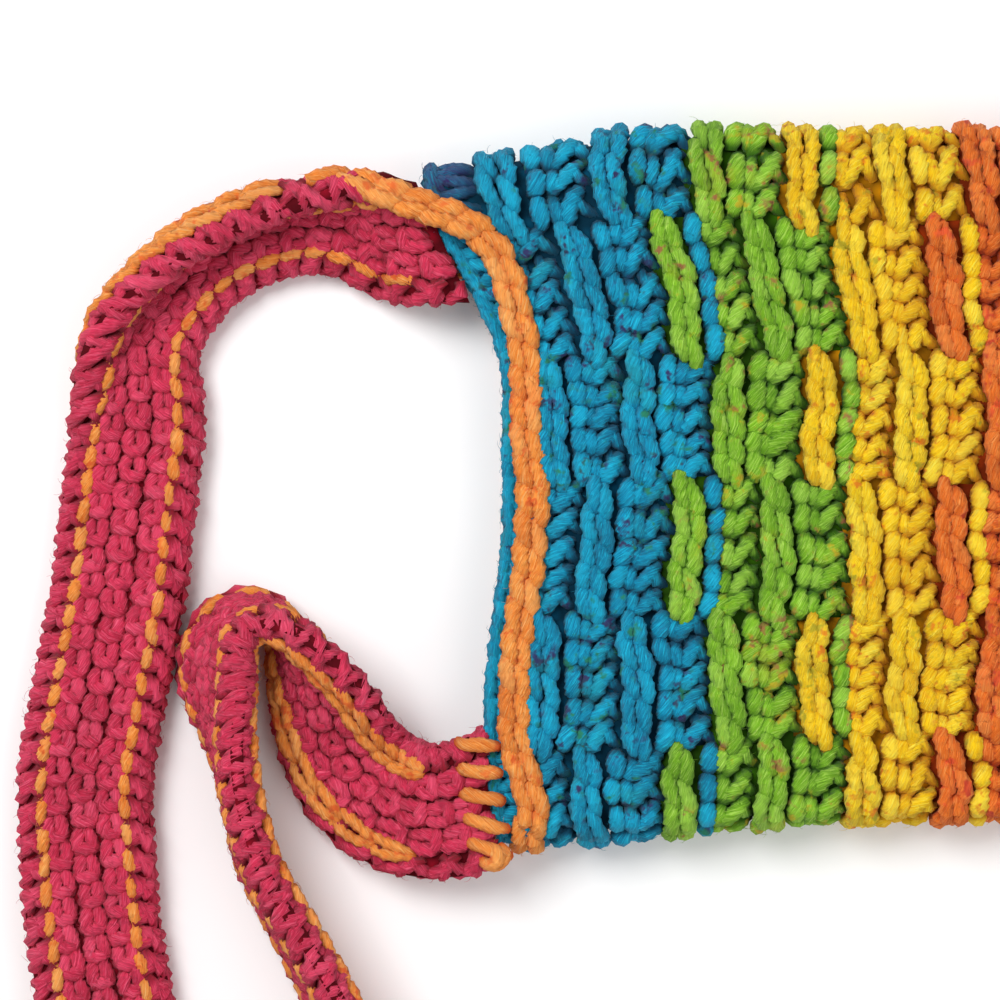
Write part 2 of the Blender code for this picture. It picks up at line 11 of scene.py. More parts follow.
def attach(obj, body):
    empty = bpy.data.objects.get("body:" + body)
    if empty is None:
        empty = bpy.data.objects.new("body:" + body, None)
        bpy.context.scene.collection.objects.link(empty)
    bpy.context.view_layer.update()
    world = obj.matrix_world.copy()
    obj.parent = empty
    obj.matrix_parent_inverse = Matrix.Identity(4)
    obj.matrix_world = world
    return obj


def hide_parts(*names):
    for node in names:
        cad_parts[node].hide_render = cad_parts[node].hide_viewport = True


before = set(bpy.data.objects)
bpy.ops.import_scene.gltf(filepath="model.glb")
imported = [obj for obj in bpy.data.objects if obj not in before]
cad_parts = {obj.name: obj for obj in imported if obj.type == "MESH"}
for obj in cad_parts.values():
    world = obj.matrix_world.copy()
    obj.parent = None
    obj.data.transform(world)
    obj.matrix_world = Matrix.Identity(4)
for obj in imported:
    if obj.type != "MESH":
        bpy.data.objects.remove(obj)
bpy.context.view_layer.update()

for name in ("Cube", "Light", "Camera"):  # what a new file starts with
    if name in bpy.data.objects:
        bpy.data.objects.remove(bpy.data.objects[name])

# Lengths are in millimetres from the middle of the mouth, with heights from the table.
# toFrame turns a place into the frame's metres.
pouch = {
    "mouthAt": (-29.8, 122.3), "rows": 14, "rowsPerColour": 3, "rowHeight": 15.0, "lipDepth": 8.0,
    "groups": 10, "stitches": 5, "frontWidths": (45.3, 45.3, 41.1, 40.2), "frontFirst": 84.3,
    "edgeTop": 111.5, "edgeBottom": 114.5, "wallHalf": 9.5, "midHeight": 14.7, "wallIn": 4.0,
    "mouthBack": 2.0, "cornerDrag": 28.0, "dragFrom": 40.0, "dragFade": 25.0, "dragKept": 0.25,
    "mouthDip": 6.5, "dipAt": 75.0, "topFlare": 11.0, "flareReach": 60.0,
    "bottomLift": 9.0, "liftReach": 130.0, "mouthPinch": 2.8, "pinchReach": 20.0,
    # how far hand work strays: two waves round the pouch, and the depth where they are full
    "slowWaves": 7, "slowSize": 1.1, "quickWaves": 19, "quickSize": 0.6, "strayFrom": 26.0,
}
quarterTurn = math.pi / 2 * pouch["wallHalf"]
flatSide = pouch["edgeTop"] + pouch["edgeBottom"] - 2 * pouch["wallHalf"]
lowFold = pouch["wallHalf"] - pouch["edgeBottom"]
wholeWay = 2 * flatSide + 4 * quarterTurn


def toFrame(place):
    x, y = pouch["mouthAt"]
    return Vector((place[0] + x, place[1] + y, place[2])) / 1000


def ease(value):
    value = min(1.0, max(0.0, value))
    return value * value * (3 - 2 * value)


def mouthEdge(y):  # how far the mouth's edge lies towards +X, at y along it
    pulled = pouch["cornerDrag"] * ease((y - pouch["dragFrom"]) / (pouch["edgeTop"] - pouch["dragFrom"]))
    bowed = pouch["mouthDip"] * math.sin(math.pi / 2 * min(0.0, y) / pouch["dipAt"]) ** 2
    return pouch["mouthBack"] - pulled - bowed


def outline(along):  # round the pouch from its lower fold over the front: y, z and the way out
    half = pouch["wallHalf"]
    along = (along + quarterTurn) % wholeWay
    if along < 2 * quarterTurn:
        way = (-math.sin(along / half), -math.cos(along / half))
        return lowFold + half * way[0], half * way[1], way
    along -= 2 * quarterTurn
    if along < flatSide:
        return lowFold + along, half, (0.0, 1.0)
    along -= flatSide
    if along < 2 * quarterTurn:
        way = (math.sin(along / half), math.cos(along / half))
        return lowFold + flatSide + half * way[0], half * way[1], way
    along -= 2 * quarterTurn
    return lowFold + flatSide - along, -half, (0.0, -1.0)


def unevenness(along, depth, start):  # what hand work adds; it comes round again after one turn
    turn = 2 * math.pi * along / wholeWay
    slow = math.sin(pouch["slowWaves"] * turn + depth / 31 + start)
    quick = math.sin(pouch["quickWaves"] * turn - depth / 12 + 2 * start)
    return (pouch["slowSize"] * slow + pouch["quickSize"] * quick) * ease(depth / pouch["strayFrom"])


def onPouch(along, depth, out):  # a place by the pouch's wall, depth behind the mouth's edge
    strays = [unevenness(along, depth, start) for start in (0.0, 1.7, 3.1)]
    along += strays[0]
    depth += strays[1]
    out += 0.5 * strays[2]
    y, z, way = outline(along)
    y += out * way[0]
    z += out * way[1] - way[1] * pouch["mouthPinch"] * math.exp(-(depth / pouch["pinchReach"]) ** 2)
    hold = pouch["dragKept"] + (1 - pouch["dragKept"]) * math.exp(-max(0.0, depth) / pouch["dragFade"])
    x = depth + pouch["mouthBack"] + (mouthEdge(y) - pouch["mouthBack"]) * hold
    if y > 0:
        y += pouch["topFlare"] * ease(depth / pouch["flareReach"]) * (y / pouch["edgeTop"]) ** 2
    else:
        y += pouch["bottomLift"] * ease(depth / pouch["liftReach"]) * (y / pouch["edgeBottom"]) ** 2
    return Vector((x, y, z + pouch["midHeight"]))


def groupStarts():  # where each group of stitches starts round the pouch
    front = list(pouch["frontWidths"])
    first = quarterTurn + pouch["edgeBottom"] - pouch["wallHalf"] - pouch["frontFirst"]
    others = pouch["groups"] - len(front)
    rest = (wholeWay - sum(front)) / others
    found = [first - rest]
    for width in [rest] + front + [rest] * (others - 1):
        found.append(found[-1] + width)
    return found


starts = groupStarts()


# Yarn. Every visible stitch is a strand: a short line of points that the node tree below thickens.

yarnRest = 1.3  # the least height of a strand's middle over the table, for each millimetre of its radius


def newYarn():
    return {"places": [], "edges": [], "thick": [], "crest": [], "tint": []}


def addLine(yarn, places, widths, crests, tint):
    first = len(yarn["places"])
    yarn["places"] += places
    yarn["thick"] += widths
    yarn["crest"] += crests
    yarn["tint"] += [tint] * len(places)
    yarn["edges"] += [(first + k, first + k + 1) for k in range(len(places) - 1)]


def addStrand(yarn, places, thick, tint, taper=0.55):
    crests = [math.sin(math.pi * k / (len(places) - 1)) for k in range(len(places))]
    widths = [thick * (taper + (1 - taper) * crest ** 0.6) for crest in crests]
    rested = [toFrame((p.x, p.y, max(p.z, width * yarnRest))) for p, width in zip(places, widths)]
    addLine(yarn, rested, [width / 1000 for width in widths], crests, tint)


def addChain(yarn, placeAt, links, dice, chain):  # a chain of V loops; placeAt takes links, side, out
    top = chain["top"]
    low = chain["low"]
    straight = ((1.3, 0.75, low), (1.0, 1.0, top - 0.7), (0.55, 0.95, top), (0.12, 0.55, top),
                (-0.22, 0.1, low))
    leaning = ((0.95, 0.05, low), (0.62, 0.45, top - 0.3), (0.2, 0.9, top), (-0.2, 1.0, top - 0.8),
               (-0.5, 0.8, low))
    for k in range(links):
        wide = chain["wide"] * (chain["ends"] if k in (0, links - 1) else 1.0)
        for side in (-1, 1):
            jog = dice.uniform(-0.06, 0.06)
            lift = dice.uniform(-0.25, 0.25)
            path = leaning if side > 0 and chain["lean"] else straight
            places = [placeAt(k + s + jog, side * wide * across, out + lift) for s, across, out in path]
            addStrand(yarn, places, chain["thick"] * dice.uniform(0.93, 1.07), dice.random(), 0.5)


def wobble(dice, place, size=0.6):
    x, y, z = (dice.uniform(-size, size) for _ in range(3))
    return place + Vector((x, y, z * 0.5))


def layStrand(yarn, dice, path, placeAt, thick, taper, size=0.6, spread=(0.9, 1.1)):  # one strand, by hand
    places = [wobble(dice, placeAt(*spot), size) for spot in path]
    addStrand(yarn, places, thick * dice.uniform(*spread), dice.random(), taper)


def mathNode(tree, kind, operation, values):
    node = tree.nodes.new(kind)
    node.operation = operation
    for socket, value in zip(node.inputs, values):
        if isinstance(value, bpy.types.NodeSocket):
            tree.links.new(value, socket)
        else:
            socket.default_value = value
    return node.outputs


def vectorMath(tree, operation, *values):
    results = mathNode(tree, "ShaderNodeVectorMath", operation, values)
    return results["Value"] if operation == "DISTANCE" else results["Vector"]


def numberMath(tree, operation, *values):
    return mathNode(tree, "ShaderNodeMath", operation, values)["Value"]


def yarnTree():  # strands in, twisted yarn out, with the place on the yarn kept for the material
    tree = bpy.data.node_groups.new("yarnOnStrands", "GeometryNodeTree")
    sockets = tree.interface
    sockets.new_socket("Strands", in_out="INPUT", socket_type="NodeSocketGeometry")
    for name, kind, value in (("Rings", "Int", 7), ("Sides", "Int", 8), ("Ply Depth", "Float", 0.08),
                              ("Turns per Metre", "Float", 45.0), ("Seed", "Int", 3)):
        sockets.new_socket(name, in_out="INPUT", socket_type="NodeSocket" + kind).default_value = value
    sockets.new_socket("Material", in_out="INPUT", socket_type="NodeSocketMaterial")
    sockets.new_socket("Yarn", in_out="OUTPUT", socket_type="NodeSocketGeometry")
    new = tree.nodes.new
    link = tree.links.new

    def passTo(start, kind, socket):  # a new node that takes this in
        node = new(kind)
        link(start, node.inputs[socket])
        return node

    given = new("NodeGroupInput").outputs
    toCurve = passTo(given["Strands"], "GeometryNodeMeshToCurve", "Mesh")
    bend = passTo(toCurve.outputs[0], "GeometryNodeCurveSplineType", "Curve")
    bend.spline_type = "CATMULL_ROM"
    rings = passTo(bend.outputs[0], "GeometryNodeResampleCurve", "Curve")
    link(given["Rings"], rings.inputs["Count"])
    thick = new("GeometryNodeInputNamedAttribute")
    thick.data_type = "FLOAT"
    thick.inputs["Name"].default_value = "thick"
    chance = new("FunctionNodeRandomValue")
    chance.data_type = "FLOAT"
    link(new("GeometryNodeCurveOfPoint").outputs["Curve Index"], chance.inputs["ID"])
    link(given["Seed"], chance.inputs["Seed"])
    length = new("GeometryNodeSplineParameter").outputs["Length"]
    turned = numberMath(tree, "MULTIPLY", length, given["Turns per Metre"])
    turned = numberMath(tree, "ADD", turned, chance.outputs[1])
    turned = numberMath(tree, "MULTIPLY", turned, 2 * math.pi)
    twisted = passTo(rings.outputs[0], "GeometryNodeSetCurveTilt", "Curve")
    link(turned, twisted.inputs["Tilt"])
    keepLength = passTo(twisted.outputs[0], "GeometryNodeCaptureAttribute", "Geometry")
    keepLength.capture_items.new("FLOAT", "Length")
    link(length, keepLength.inputs["Length"])
    ring = new("GeometryNodeCurvePrimitiveCircle")
    ring.inputs["Radius"].default_value = 1.0
    link(given["Sides"], ring.inputs["Resolution"])
    spot = new("GeometryNodeInputPosition").outputs[0]
    keepRing = passTo(ring.outputs[0], "GeometryNodeCaptureAttribute", "Geometry")
    keepRing.capture_items.new("VECTOR", "Spot")
    link(spot, keepRing.inputs["Spot"])
    parts = passTo(spot, "ShaderNodeSeparateXYZ", 0).outputs
    squareX = numberMath(tree, "MULTIPLY", parts["X"], parts["X"])
    squareY = numberMath(tree, "MULTIPLY", parts["Y"], parts["Y"])
    plies = numberMath(tree, "SUBTRACT", squareX, squareY)
    plies = numberMath(tree, "MULTIPLY_ADD", plies, given["Ply Depth"], 1.0)
    scaled = passTo(spot, "ShaderNodeVectorMath", 0)
    scaled.operation = "SCALE"
    link(plies, scaled.inputs["Scale"])
    profile = passTo(keepRing.outputs["Geometry"], "GeometryNodeSetPosition", "Geometry")
    link(scaled.outputs[0], profile.inputs["Position"])
    tube = passTo(keepLength.outputs["Geometry"], "GeometryNodeCurveToMesh", "Curve")
    tube.inputs["Fill Caps"].default_value = True
    link(profile.outputs[0], tube.inputs["Profile Curve"])
    link(thick.outputs["Attribute"], tube.inputs["Scale"])
    ringParts = passTo(keepRing.outputs["Spot"], "ShaderNodeSeparateXYZ", 0).outputs
    place = passTo(ringParts["X"], "ShaderNodeCombineXYZ", "X")
    link(ringParts["Y"], place.inputs["Y"])
    link(keepLength.outputs["Length"], place.inputs["Z"])
    store = passTo(tube.outputs[0], "GeometryNodeStoreNamedAttribute", "Geometry")
    store.data_type = "FLOAT_VECTOR"
    store.domain = "POINT"
    store.inputs["Name"].default_value = "fibrePlace"
    link(place.outputs[0], store.inputs["Value"])
    shaded = passTo(store.outputs[0], "GeometryNodeSetShadeSmooth", "Geometry")
    real = passTo(shaded.outputs[0], "GeometryNodeRealizeInstances", "Geometry")
    dressed = passTo(real.outputs[0], "GeometryNodeSetMaterial", "Geometry")
    link(given["Material"], dressed.inputs["Material"])
    passTo(dressed.outputs[0], "NodeGroupOutput", "Yarn")
    return tree


# Loose fibres: the share of a strand's high places that bear one, their thickness, how far they stand off
# and reach, where they root in the yarn, how far their roots scatter, and their least height
fuzz = {
    "crestFrom": 0.6, "share": 0.6, "thick": 0.085, "stand": 0.5, "reach": 2.2, "root": 0.85, "scatter": 1.0,
    "leastHeight": 0.4, "mesh": {"Rings": 4, "Sides": 3, "Ply Depth": 0.0},
}


def fuzzOf(yarn, cloth, dice):
    hairs = newYarn()
    for k, crest in enumerate(yarn["crest"]):
        if crest <= fuzz["crestFrom"] or dice.random() > fuzz["share"]:
            continue
        place = yarn["places"][k]
        out = (place - cloth.find_nearest(place)[0]).normalized()
        side = out.cross(Vector([dice.uniform(-1, 1) for _ in range(3)])).normalized()
        lean = out.cross(side)
        turn = dice.uniform(-1, 1)
        start = place + out * yarn["thick"][k] * fuzz["root"]
        start += side * dice.uniform(-1, 1) * (fuzz["scatter"] / 1000)
        reach = fuzz["reach"] * dice.uniform(0.4, 1.2) / 1000
        stand = fuzz["stand"] * dice.uniform(0.5, 1.6) / 1000
        spots = [start, start + out * stand + side * reach * 0.4,
                 start + out * stand * 1.5 + side * reach + lean * reach * 0.4 * turn,
                 start + out * stand * 1.2 + side * reach * 1.5 + lean * reach * turn]
        if min(s.z for s in spots) * 1000 < fuzz["leastHeight"]:
            continue
        widths = [fuzz["thick"] * (1 - 0.2 * n) / 1000 for n in range(len(spots))]
        addLine(hairs, spots, widths, [1.0] * len(spots), dice.random())
    return hairs


def spin(name, yarn, material, values, cloth):  # strands and their fuzz as one plain mesh
    piece = spinOne(name, yarn, material, values)
    hairs = fuzzOf(yarn, cloth, random.Random(values["Seed"]))
    loose = spinOne(name + "Fuzz", hairs, material, {"Seed": values["Seed"], **fuzz["mesh"]})
    edit = bmesh.new()
    edit.from_mesh(piece.data)
    edit.from_mesh(loose.data)
    edit.to_mesh(piece.data)
    edit.free()
    bpy.data.objects.remove(loose)
    # each point's height over the cloth, which the material turns into painted shade low down
    heights = [cloth.find_nearest(v.co)[3] * 1000 for v in piece.data.vertices]
    piece.data.attributes.new("raised", "FLOAT", "POINT").data.foreach_set("value", heights)
    return piece


def handOver(piece, node):  # what the piece stands for and moves with
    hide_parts(node)
    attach(piece, "root")
    print(piece.name, "made,", len(piece.data.polygons), "faces")


def clothTree(faces, places):
    return BVHTree.FromPolygons([toFrame(p) for p in places], faces)


def spinOne(name, yarn, material, values):
    mesh = bpy.data.meshes.new(name)
    mesh.from_pydata(yarn["places"], yarn["edges"], [])
    for key in ("thick", "crest", "tint"):
        mesh.attributes.new(key, "FLOAT", "POINT").data.foreach_set("value", yarn[key])
    piece = bpy.data.objects.new(name, mesh)
    bpy.context.scene.collection.objects.link(piece)
    thicken = piece.modifiers.new("yarn", "NODES")
    thicken.node_group = makeYarn
    identifiers = {s.name: s.identifier for s in makeYarn.interface.items_tree if s.in_out == "INPUT"}
    for label, value in values.items():
        thicken[identifiers[label]] = value
    thicken[identifiers["Material"]] = material
    bpy.context.view_layer.update()
    graph = bpy.context.evaluated_depsgraph_get()
    spun = bpy.data.meshes.new_from_object(piece.evaluated_get(graph))
    piece.modifiers.clear()
    piece.data = spun
    spun.name = name
    return piece


def addCloth(piece, faces, places, material):  # the cloth under the stitches, joined to their mesh
    mesh = bpy.data.meshes.new("cloth")
    mesh.from_pydata([toFrame(p) for p in places], [], faces)
    edit = bmesh.new()
    edit.from_mesh(mesh)
    bmesh.ops.recalc_face_normals(edit, faces=edit.faces)
    for face in edit.faces:
        face.material_index = 1
        face.smooth = True
    edit.from_mesh(piece.data)
    edit.faces.ensure_lookup_table()
    for face in edit.faces[len(mesh.polygons):]:
        face.material_index = 0
    edit.to_mesh(piece.data)
    edit.free()
    piece.data.materials.append(material)
    bpy.data.meshes.remove(mesh)


# Materials

# The yarn's fibres: how fine the noises are, where each effect starts and is full, and how strong it is;
# crest and raised place the painted shade, shine and brighter the painted highlight
fibreLook = {
    "fibres": (5.5, 5.5, 110.0), "apart": 71.0, "streakRough": 0.65, "patchScale": 55.0, "fleckScale": 210.0,
    "whichScale": 90.0, "mottle": (2.4, 2.4, 4.0), "crest": (0.0, 0.7), "raised": (1.2, 4.6),
    "shine": (0.50, 0.72), "shade": (0.50, 0.30, 0.6),
    "darker": {"patch": (0.55, 0.30, 0.35), "tint": (0.55, 1.0, 0.25), "mottle": (0.47, 0.30, 0.5)},
    "brighter": {"tint": (0.45, 0.0, 0.25), "mottle": (0.53, 0.70, 0.65)},
    "fleck": (0.54, 0.66), "fleckPatch": (0.44, 0.58), "which": (0.45, 0.55), "cast": (0.52, 0.72, 0.3),
    "corner": (0.020, 0.006), "cornerStreak": (0.30, 0.60, 0.25, 0.9), "mottleHeight": 0.5,
}
yarnColours = ("Yarn Colour", "Deep Colour", "Bright Colour", "Fleck Colour", "Second Fleck")
# The shaders' values, and each bump's strength and depth
finish = {
    "yarn": {"Roughness": 0.7, "Sheen Weight": 0.06, "Sheen Roughness": 0.5, "Specular IOR Level": 0.2},
    "cloth": {"Roughness": 0.95, "Specular IOR Level": 0.15}, "yarnBump": (0.8, 0.001),
    "clothBump": (1.0, 0.0015), "knotScale": 150.0, "knotShade": 0.6, "knotEdge": 0.55,
}


def fibreGroup():  # colour and height of yarn from the place on it, with painted shade where it lies low and painted highlights on its crests
    group = bpy.data.node_groups.new("yarnFibres", "ShaderNodeTree")
    sockets = group.interface
    for name in yarnColours:
        sockets.new_socket(name, in_out="INPUT", socket_type="NodeSocketColor")
    sockets.new_socket("Fleck Share", in_out="INPUT", socket_type="NodeSocketFloat")
    corner = sockets.new_socket("Dark Corner", in_out="INPUT", socket_type="NodeSocketVector")
    corner.default_value = (0, 0, 9)  # out of the way
    sockets.new_socket("Colour", in_out="OUTPUT", socket_type="NodeSocketColor")
    sockets.new_socket("Height", in_out="OUTPUT", socket_type="NodeSocketFloat")
    new = group.nodes.new
    link = group.links.new
    given = new("NodeGroupInput").outputs
    result = new("NodeGroupOutput").inputs

    def attribute(name):
        node = new("ShaderNodeAttribute")
        node.attribute_name = name
        return node.outputs

    def noise(place, scale, detail, roughness=0.6):
        node = new("ShaderNodeTexNoise")
        node.inputs["Scale"].default_value = scale
        node.inputs["Detail"].default_value = detail
        node.inputs["Roughness"].default_value = roughness
        link(place, node.inputs["Vector"])
        return node.outputs["Fac"]

    def remap(value, low, high, first=0.0, last=1.0):
        node = new("ShaderNodeMapRange")
        node.interpolation_type = "SMOOTHSTEP"
        for key, number in zip(("From Min", "From Max", "To Min", "To Max"), (low, high, first, last)):
            node.inputs[key].default_value = number
        link(value, node.inputs["Value"])
        return node.outputs["Result"]

    def times(first, second):
        return numberMath(group, "MULTIPLY", first, second)

    def strength(value, low, high, size):
        return times(remap(value, low, high), size)

    def mix(share, first, second):
        node = new("ShaderNodeMix")
        node.data_type = "RGBA"
        colours = [s for s in node.inputs if s.type == "RGBA"]
        link(share, node.inputs["Factor"])
        link(first, colours[0])
        link(second, colours[1])
        return next(s for s in node.outputs if s.type == "RGBA")

    measures = {"tint": attribute("tint")["Fac"]}
    fibres = vectorMath(group, "MULTIPLY", attribute("fibrePlace")["Vector"], fibreLook["fibres"])
    apart = new("ShaderNodeCombineXYZ")
    link(times(measures["tint"], fibreLook["apart"]), apart.inputs["Z"])
    fibres = vectorMath(group, "ADD", fibres, apart.outputs[0])
    streak = noise(fibres, 1.0, 4.0, fibreLook["streakRough"])
    here = new("ShaderNodeTexCoord").outputs["Object"]
    patch = measures["patch"] = noise(here, fibreLook["patchScale"], 3.0)
    fleck = noise(here, fibreLook["fleckScale"], 2.0)
    which = noise(here, fibreLook["whichScale"], 1.0)
    measures["mottle"] = noise(vectorMath(group, "MULTIPLY", fibres, fibreLook["mottle"]), 1.0, 2.0)
    # painted shade: yarn at a strand's ends and low over the cloth takes the deep colour, as if shaded by the
    # stitches around it
    crest = remap(attribute("crest")["Fac"], *fibreLook["crest"])
    crest = times(crest, remap(attribute("raised")["Fac"], *fibreLook["raised"]))
    colour = mix(crest, given["Deep Colour"], given["Yarn Colour"])
    # painted highlight: lit fibre streaks on the crests take the bright colour
    colour = mix(times(remap(streak, *fibreLook["shine"]), crest), colour, given["Bright Colour"])
    colour = mix(strength(streak, *fibreLook["shade"]), colour, given["Deep Colour"])
    for key, effect in fibreLook["darker"].items():
        colour = mix(strength(measures[key], *effect), colour, given["Deep Colour"])
    # random lighter strands and mottling, shown only on the crests as painted highlight
    for key, effect in fibreLook["brighter"].items():
        colour = mix(times(strength(measures[key], *effect), crest), colour, given["Bright Colour"])
    spots = times(remap(fleck, *fibreLook["fleck"]), remap(patch, *fibreLook["fleckPatch"]))
    spots = times(spots, given["Fleck Share"])
    flecks = mix(remap(which, *fibreLook["which"]), given["Fleck Colour"], given["Second Fleck"])
    colour = mix(spots, colour, flecks)
    low, high, size = fibreLook["cast"]
    cast = times(times(remap(patch, low, high), given["Fleck Share"]), size)
    colour = mix(cast, colour, given["Second Fleck"])
    corner = remap(vectorMath(group, "DISTANCE", here, given["Dark Corner"]), *fibreLook["corner"])
    corner = times(corner, remap(streak, *fibreLook["cornerStreak"]))
    link(mix(corner, colour, given["Fleck Colour"]), result["Colour"])
    height = numberMath(group, "MULTIPLY_ADD", measures["mottle"], fibreLook["mottleHeight"], streak)
    link(height, result["Height"])
    return group


def rgba(red, green, blue):  # an 8-bit display colour as Blender's linear one
    return tuple((c / 255) ** 2.2 for c in (red, green, blue)) + (1.0,)


def startMaterial(name, values):  # with its shader, and what adds and links its nodes
    material = bpy.data.materials.new(name)
    material.use_nodes = True
    tree = material.node_tree
    shader = tree.nodes["Principled BSDF"]
    for label, value in values.items():
        shader.inputs[label].default_value = value
    return material, shader, tree.nodes.new, tree.links.new


def addBump(new, link, height, shader, strength, distance):
    relief = new("ShaderNodeBump")
    relief.inputs["Strength"].default_value = strength
    relief.inputs["Distance"].default_value = distance
    link(height, relief.inputs["Height"])
    link(relief.outputs["Normal"], shader.inputs["Normal"])
    return relief


def yarnMaterial(name, look):
    material, shader, new, link = startMaterial(name, finish["yarn"])
    fibres = new("ShaderNodeGroup")
    fibres.node_tree = yarnFibres
    for label, colour in zip(yarnColours, look):
        fibres.inputs[label].default_value = rgba(*colour)
    fibres.inputs["Fleck Share"].default_value = look[-1]
    link(fibres.outputs["Colour"], shader.inputs["Base Color"])
    addBump(new, link, fibres.outputs["Height"], shader, *finish["yarnBump"])
    return material


def clothMaterial(name, look):  # the same yarn in shadow, knotted by noise
    material, shader, new, link = startMaterial(name, finish["cloth"])
    knots = new("ShaderNodeTexVoronoi")
    knots.inputs["Scale"].default_value = finish["knotScale"]
    ramp = new("ShaderNodeValToRGB")
    ends = ramp.color_ramp.elements
    ends[0].color = rgba(*look[1])
    ends[1].color = rgba(*[finish["knotShade"] * part for part in look[1]])
    ends[1].position = finish["knotEdge"]
    link(new("ShaderNodeTexCoord").outputs["Object"], knots.inputs["Vector"])
    link(knots.outputs["Distance"], ramp.inputs["Fac"])
    link(ramp.outputs["Color"], shader.inputs["Base Color"])
    addBump(new, link, knots.outputs["Distance"], shader, *finish["clothBump"]).invert = True
    return material


makeYarn = yarnTree()
yarnFibres = fibreGroup()
# Each yarn: its colour, its colour in painted shade between stitches and in its darker patches, its lit
# fibres as painted highlight, two flecks and how many flecks
looks = {
    "teal": ((0, 148, 190), (0, 76, 104), (34, 204, 240), (52, 40, 96), (40, 128, 100), 1.0),
    "green": ((132, 192, 40), (58, 104, 6), (190, 232, 104), (160, 90, 70), (190, 170, 40), 0.9),
    "yellow": ((255, 210, 4), (212, 142, 0), (255, 238, 90), (225, 100, 30), (170, 160, 40), 0.8),
    "orange": ((242, 118, 36), (172, 60, 6), (255, 164, 88), (190, 50, 40), (236, 90, 50), 0.9),
    "pink": ((220, 50, 86), (136, 16, 36), (250, 102, 134), (150, 30, 60), (226, 70, 100), 0.5),
    "braid": ((250, 150, 62), (206, 84, 14), (255, 198, 124), (226, 90, 40), (240, 110, 50), 0.9),
}
yarns = {key: yarnMaterial(key + "Yarn", look) for key, look in looks.items()}
cloths = {key: clothMaterial(key + "Cloth", look) for key, look in looks.items()}
darkCorner = yarns["teal"].node_tree.nodes["Group"].inputs["Dark Corner"]  # the mouth's top corner
darkCorner.default_value = toFrame((-22.0, 109.5, 20.0))
bandColours = ("teal", "green", "yellow", "orange", "pink")
bandNodes = ("teal_band", "green_band", "yellow_band", "orange_band", "pink_base")


# The pouch's stitches

stitch = {
    "bar": {"wide": 3.1, "top": 3.2, "low": 0.3, "thick": 3.0, "lean": True, "ends": 0.72},
    "barLift": 1.2,  # on the front
    "wrapAt": 9.2, "wrapTop": 1.8, "wrapThick": 3.6, "wrapHalf": 4.2,
    "tipAt": 12.6, "shortTop": 1.5, "longTop": 2.0, "reach": 5.0, "vThick": 3.15, "fillThick": 2.6,
    "clothOut": 0.2, "lipPitch": 9.4, "lipThick": 2.3, "lipFillThick": 2.7,
    "basePitch": 8.6, "baseEnds": 8, "baseStrands": ((-3.0, 3.2), (2.4, 2.9)),  # their slant and thickness
    # the base's strands: past the pouch's last row and out, on the front and then on the back
    "basePath": ((1, -6, 0.5), (1, -1, 2.2), (1, 4, -1.5), (-1, 4, -1.5), (-1, -1, 0.8), (-1, -6, 0.0)),
}


def addBar(yarn, dice, start, pitch, depth):
    def placeAt(link, side, out):
        along = start + link * pitch
        lift = stitch["barLift"] if outline(along)[2][1] > 0.5 else 0.0
        return wobble(dice, onPouch(along, depth + side, out + lift), 0.4)

    addChain(yarn, placeAt, pouch["stitches"], dice, stitch["bar"])


def addWrap(yarn, dice, along, depth):
    half = stitch["wrapHalf"]
    top = stitch["wrapTop"]
    slant = dice.uniform(-1.0, 1.0)
    low = top - 2.4
    path = ((-half, -0.6, low), (-half * 0.5, -0.2, top), (half * 0.5, 0.3, top), (half, 0.4, low))

    def placeAt(aside, deeper, out):
        return onPouch(along + aside, depth + stitch["wrapAt"] + deeper + slant * aside / 8, out)

    layStrand(yarn, dice, path, placeAt, stitch["wrapThick"], 0.6, spread=(0.92, 1.05))


def addPost(yarn, dice, along, pitch, depth):  # a V that opens away from the mouth and upwards
    tip = stitch["tipAt"]
    short = stitch["shortTop"]
    long = stitch["longTop"]
    reach = stitch["reach"]
    legs = (((tip + 1.2, -0.52, -1.5), (tip + 0.8, -0.3, short - 0.3), (tip + 0.9, 0.05, short),
             (tip + 1.6, 0.4, short - 2.2)),
            ((tip + 1.0, -0.62, -1.2), (tip + 3.4, -0.36, long), (tip + 3.4 + reach * 0.5, 0.02, long + 0.3),
             (tip + 3.4 + reach, 0.34, long - 1.0), (tip + 5.4 + reach, 0.5, -1.6)))
    under = ((tip + 5.5, 0.62, -1.4), (tip + 7.0, 0.3, 0.9), (tip + 9.0, -0.05, 1.0),
             (tip + 12.0, -0.3, -1.2))
    shift = dice.uniform(-0.6, 0.6)

    def legAt(deeper, aside, out):
        return onPouch(along + shift + aside * pitch, depth + deeper, out)

    def underAt(deeper, aside, out):
        return onPouch(along + aside * pitch, depth + deeper, out)

    for leg in legs:
        layStrand(yarn, dice, leg, legAt, stitch["vThick"], 0.6, spread=(0.88, 1.1))
    layStrand(yarn, dice, under, underAt, stitch["fillThick"], 0.7, 0.5)


def bandOf(row):
    return max(0, min(row, pouch["rows"] - 1)) // pouch["rowsPerColour"]


def addStitches(bands):
    full = pouch["lipDepth"] + pouch["rowHeight"] * pouch["rows"]
    for group in range(pouch["groups"]):
        pitch = (starts[group + 1] - starts[group]) / pouch["stitches"]
        rows = [row for row in range(-1, pouch["rows"]) if (row + group) % 2 == 1]
        for row in rows:
            depth = pouch["lipDepth"] + pouch["rowHeight"] * (row + 0.5)
            dice = random.Random(1000 * group + row)
            if row >= 0:
                addBar(bands[bandOf(row)], dice, starts[group], pitch, depth)
            for k in range(pouch["stitches"]):
                along = starts[group] + (k + 0.5) * pitch
                addWrap(bands[bandOf(row - 1)], dice, along, depth)
                if depth + stitch["tipAt"] < full:
                    addPost(bands[bandOf(row)], dice, along, pitch, depth)


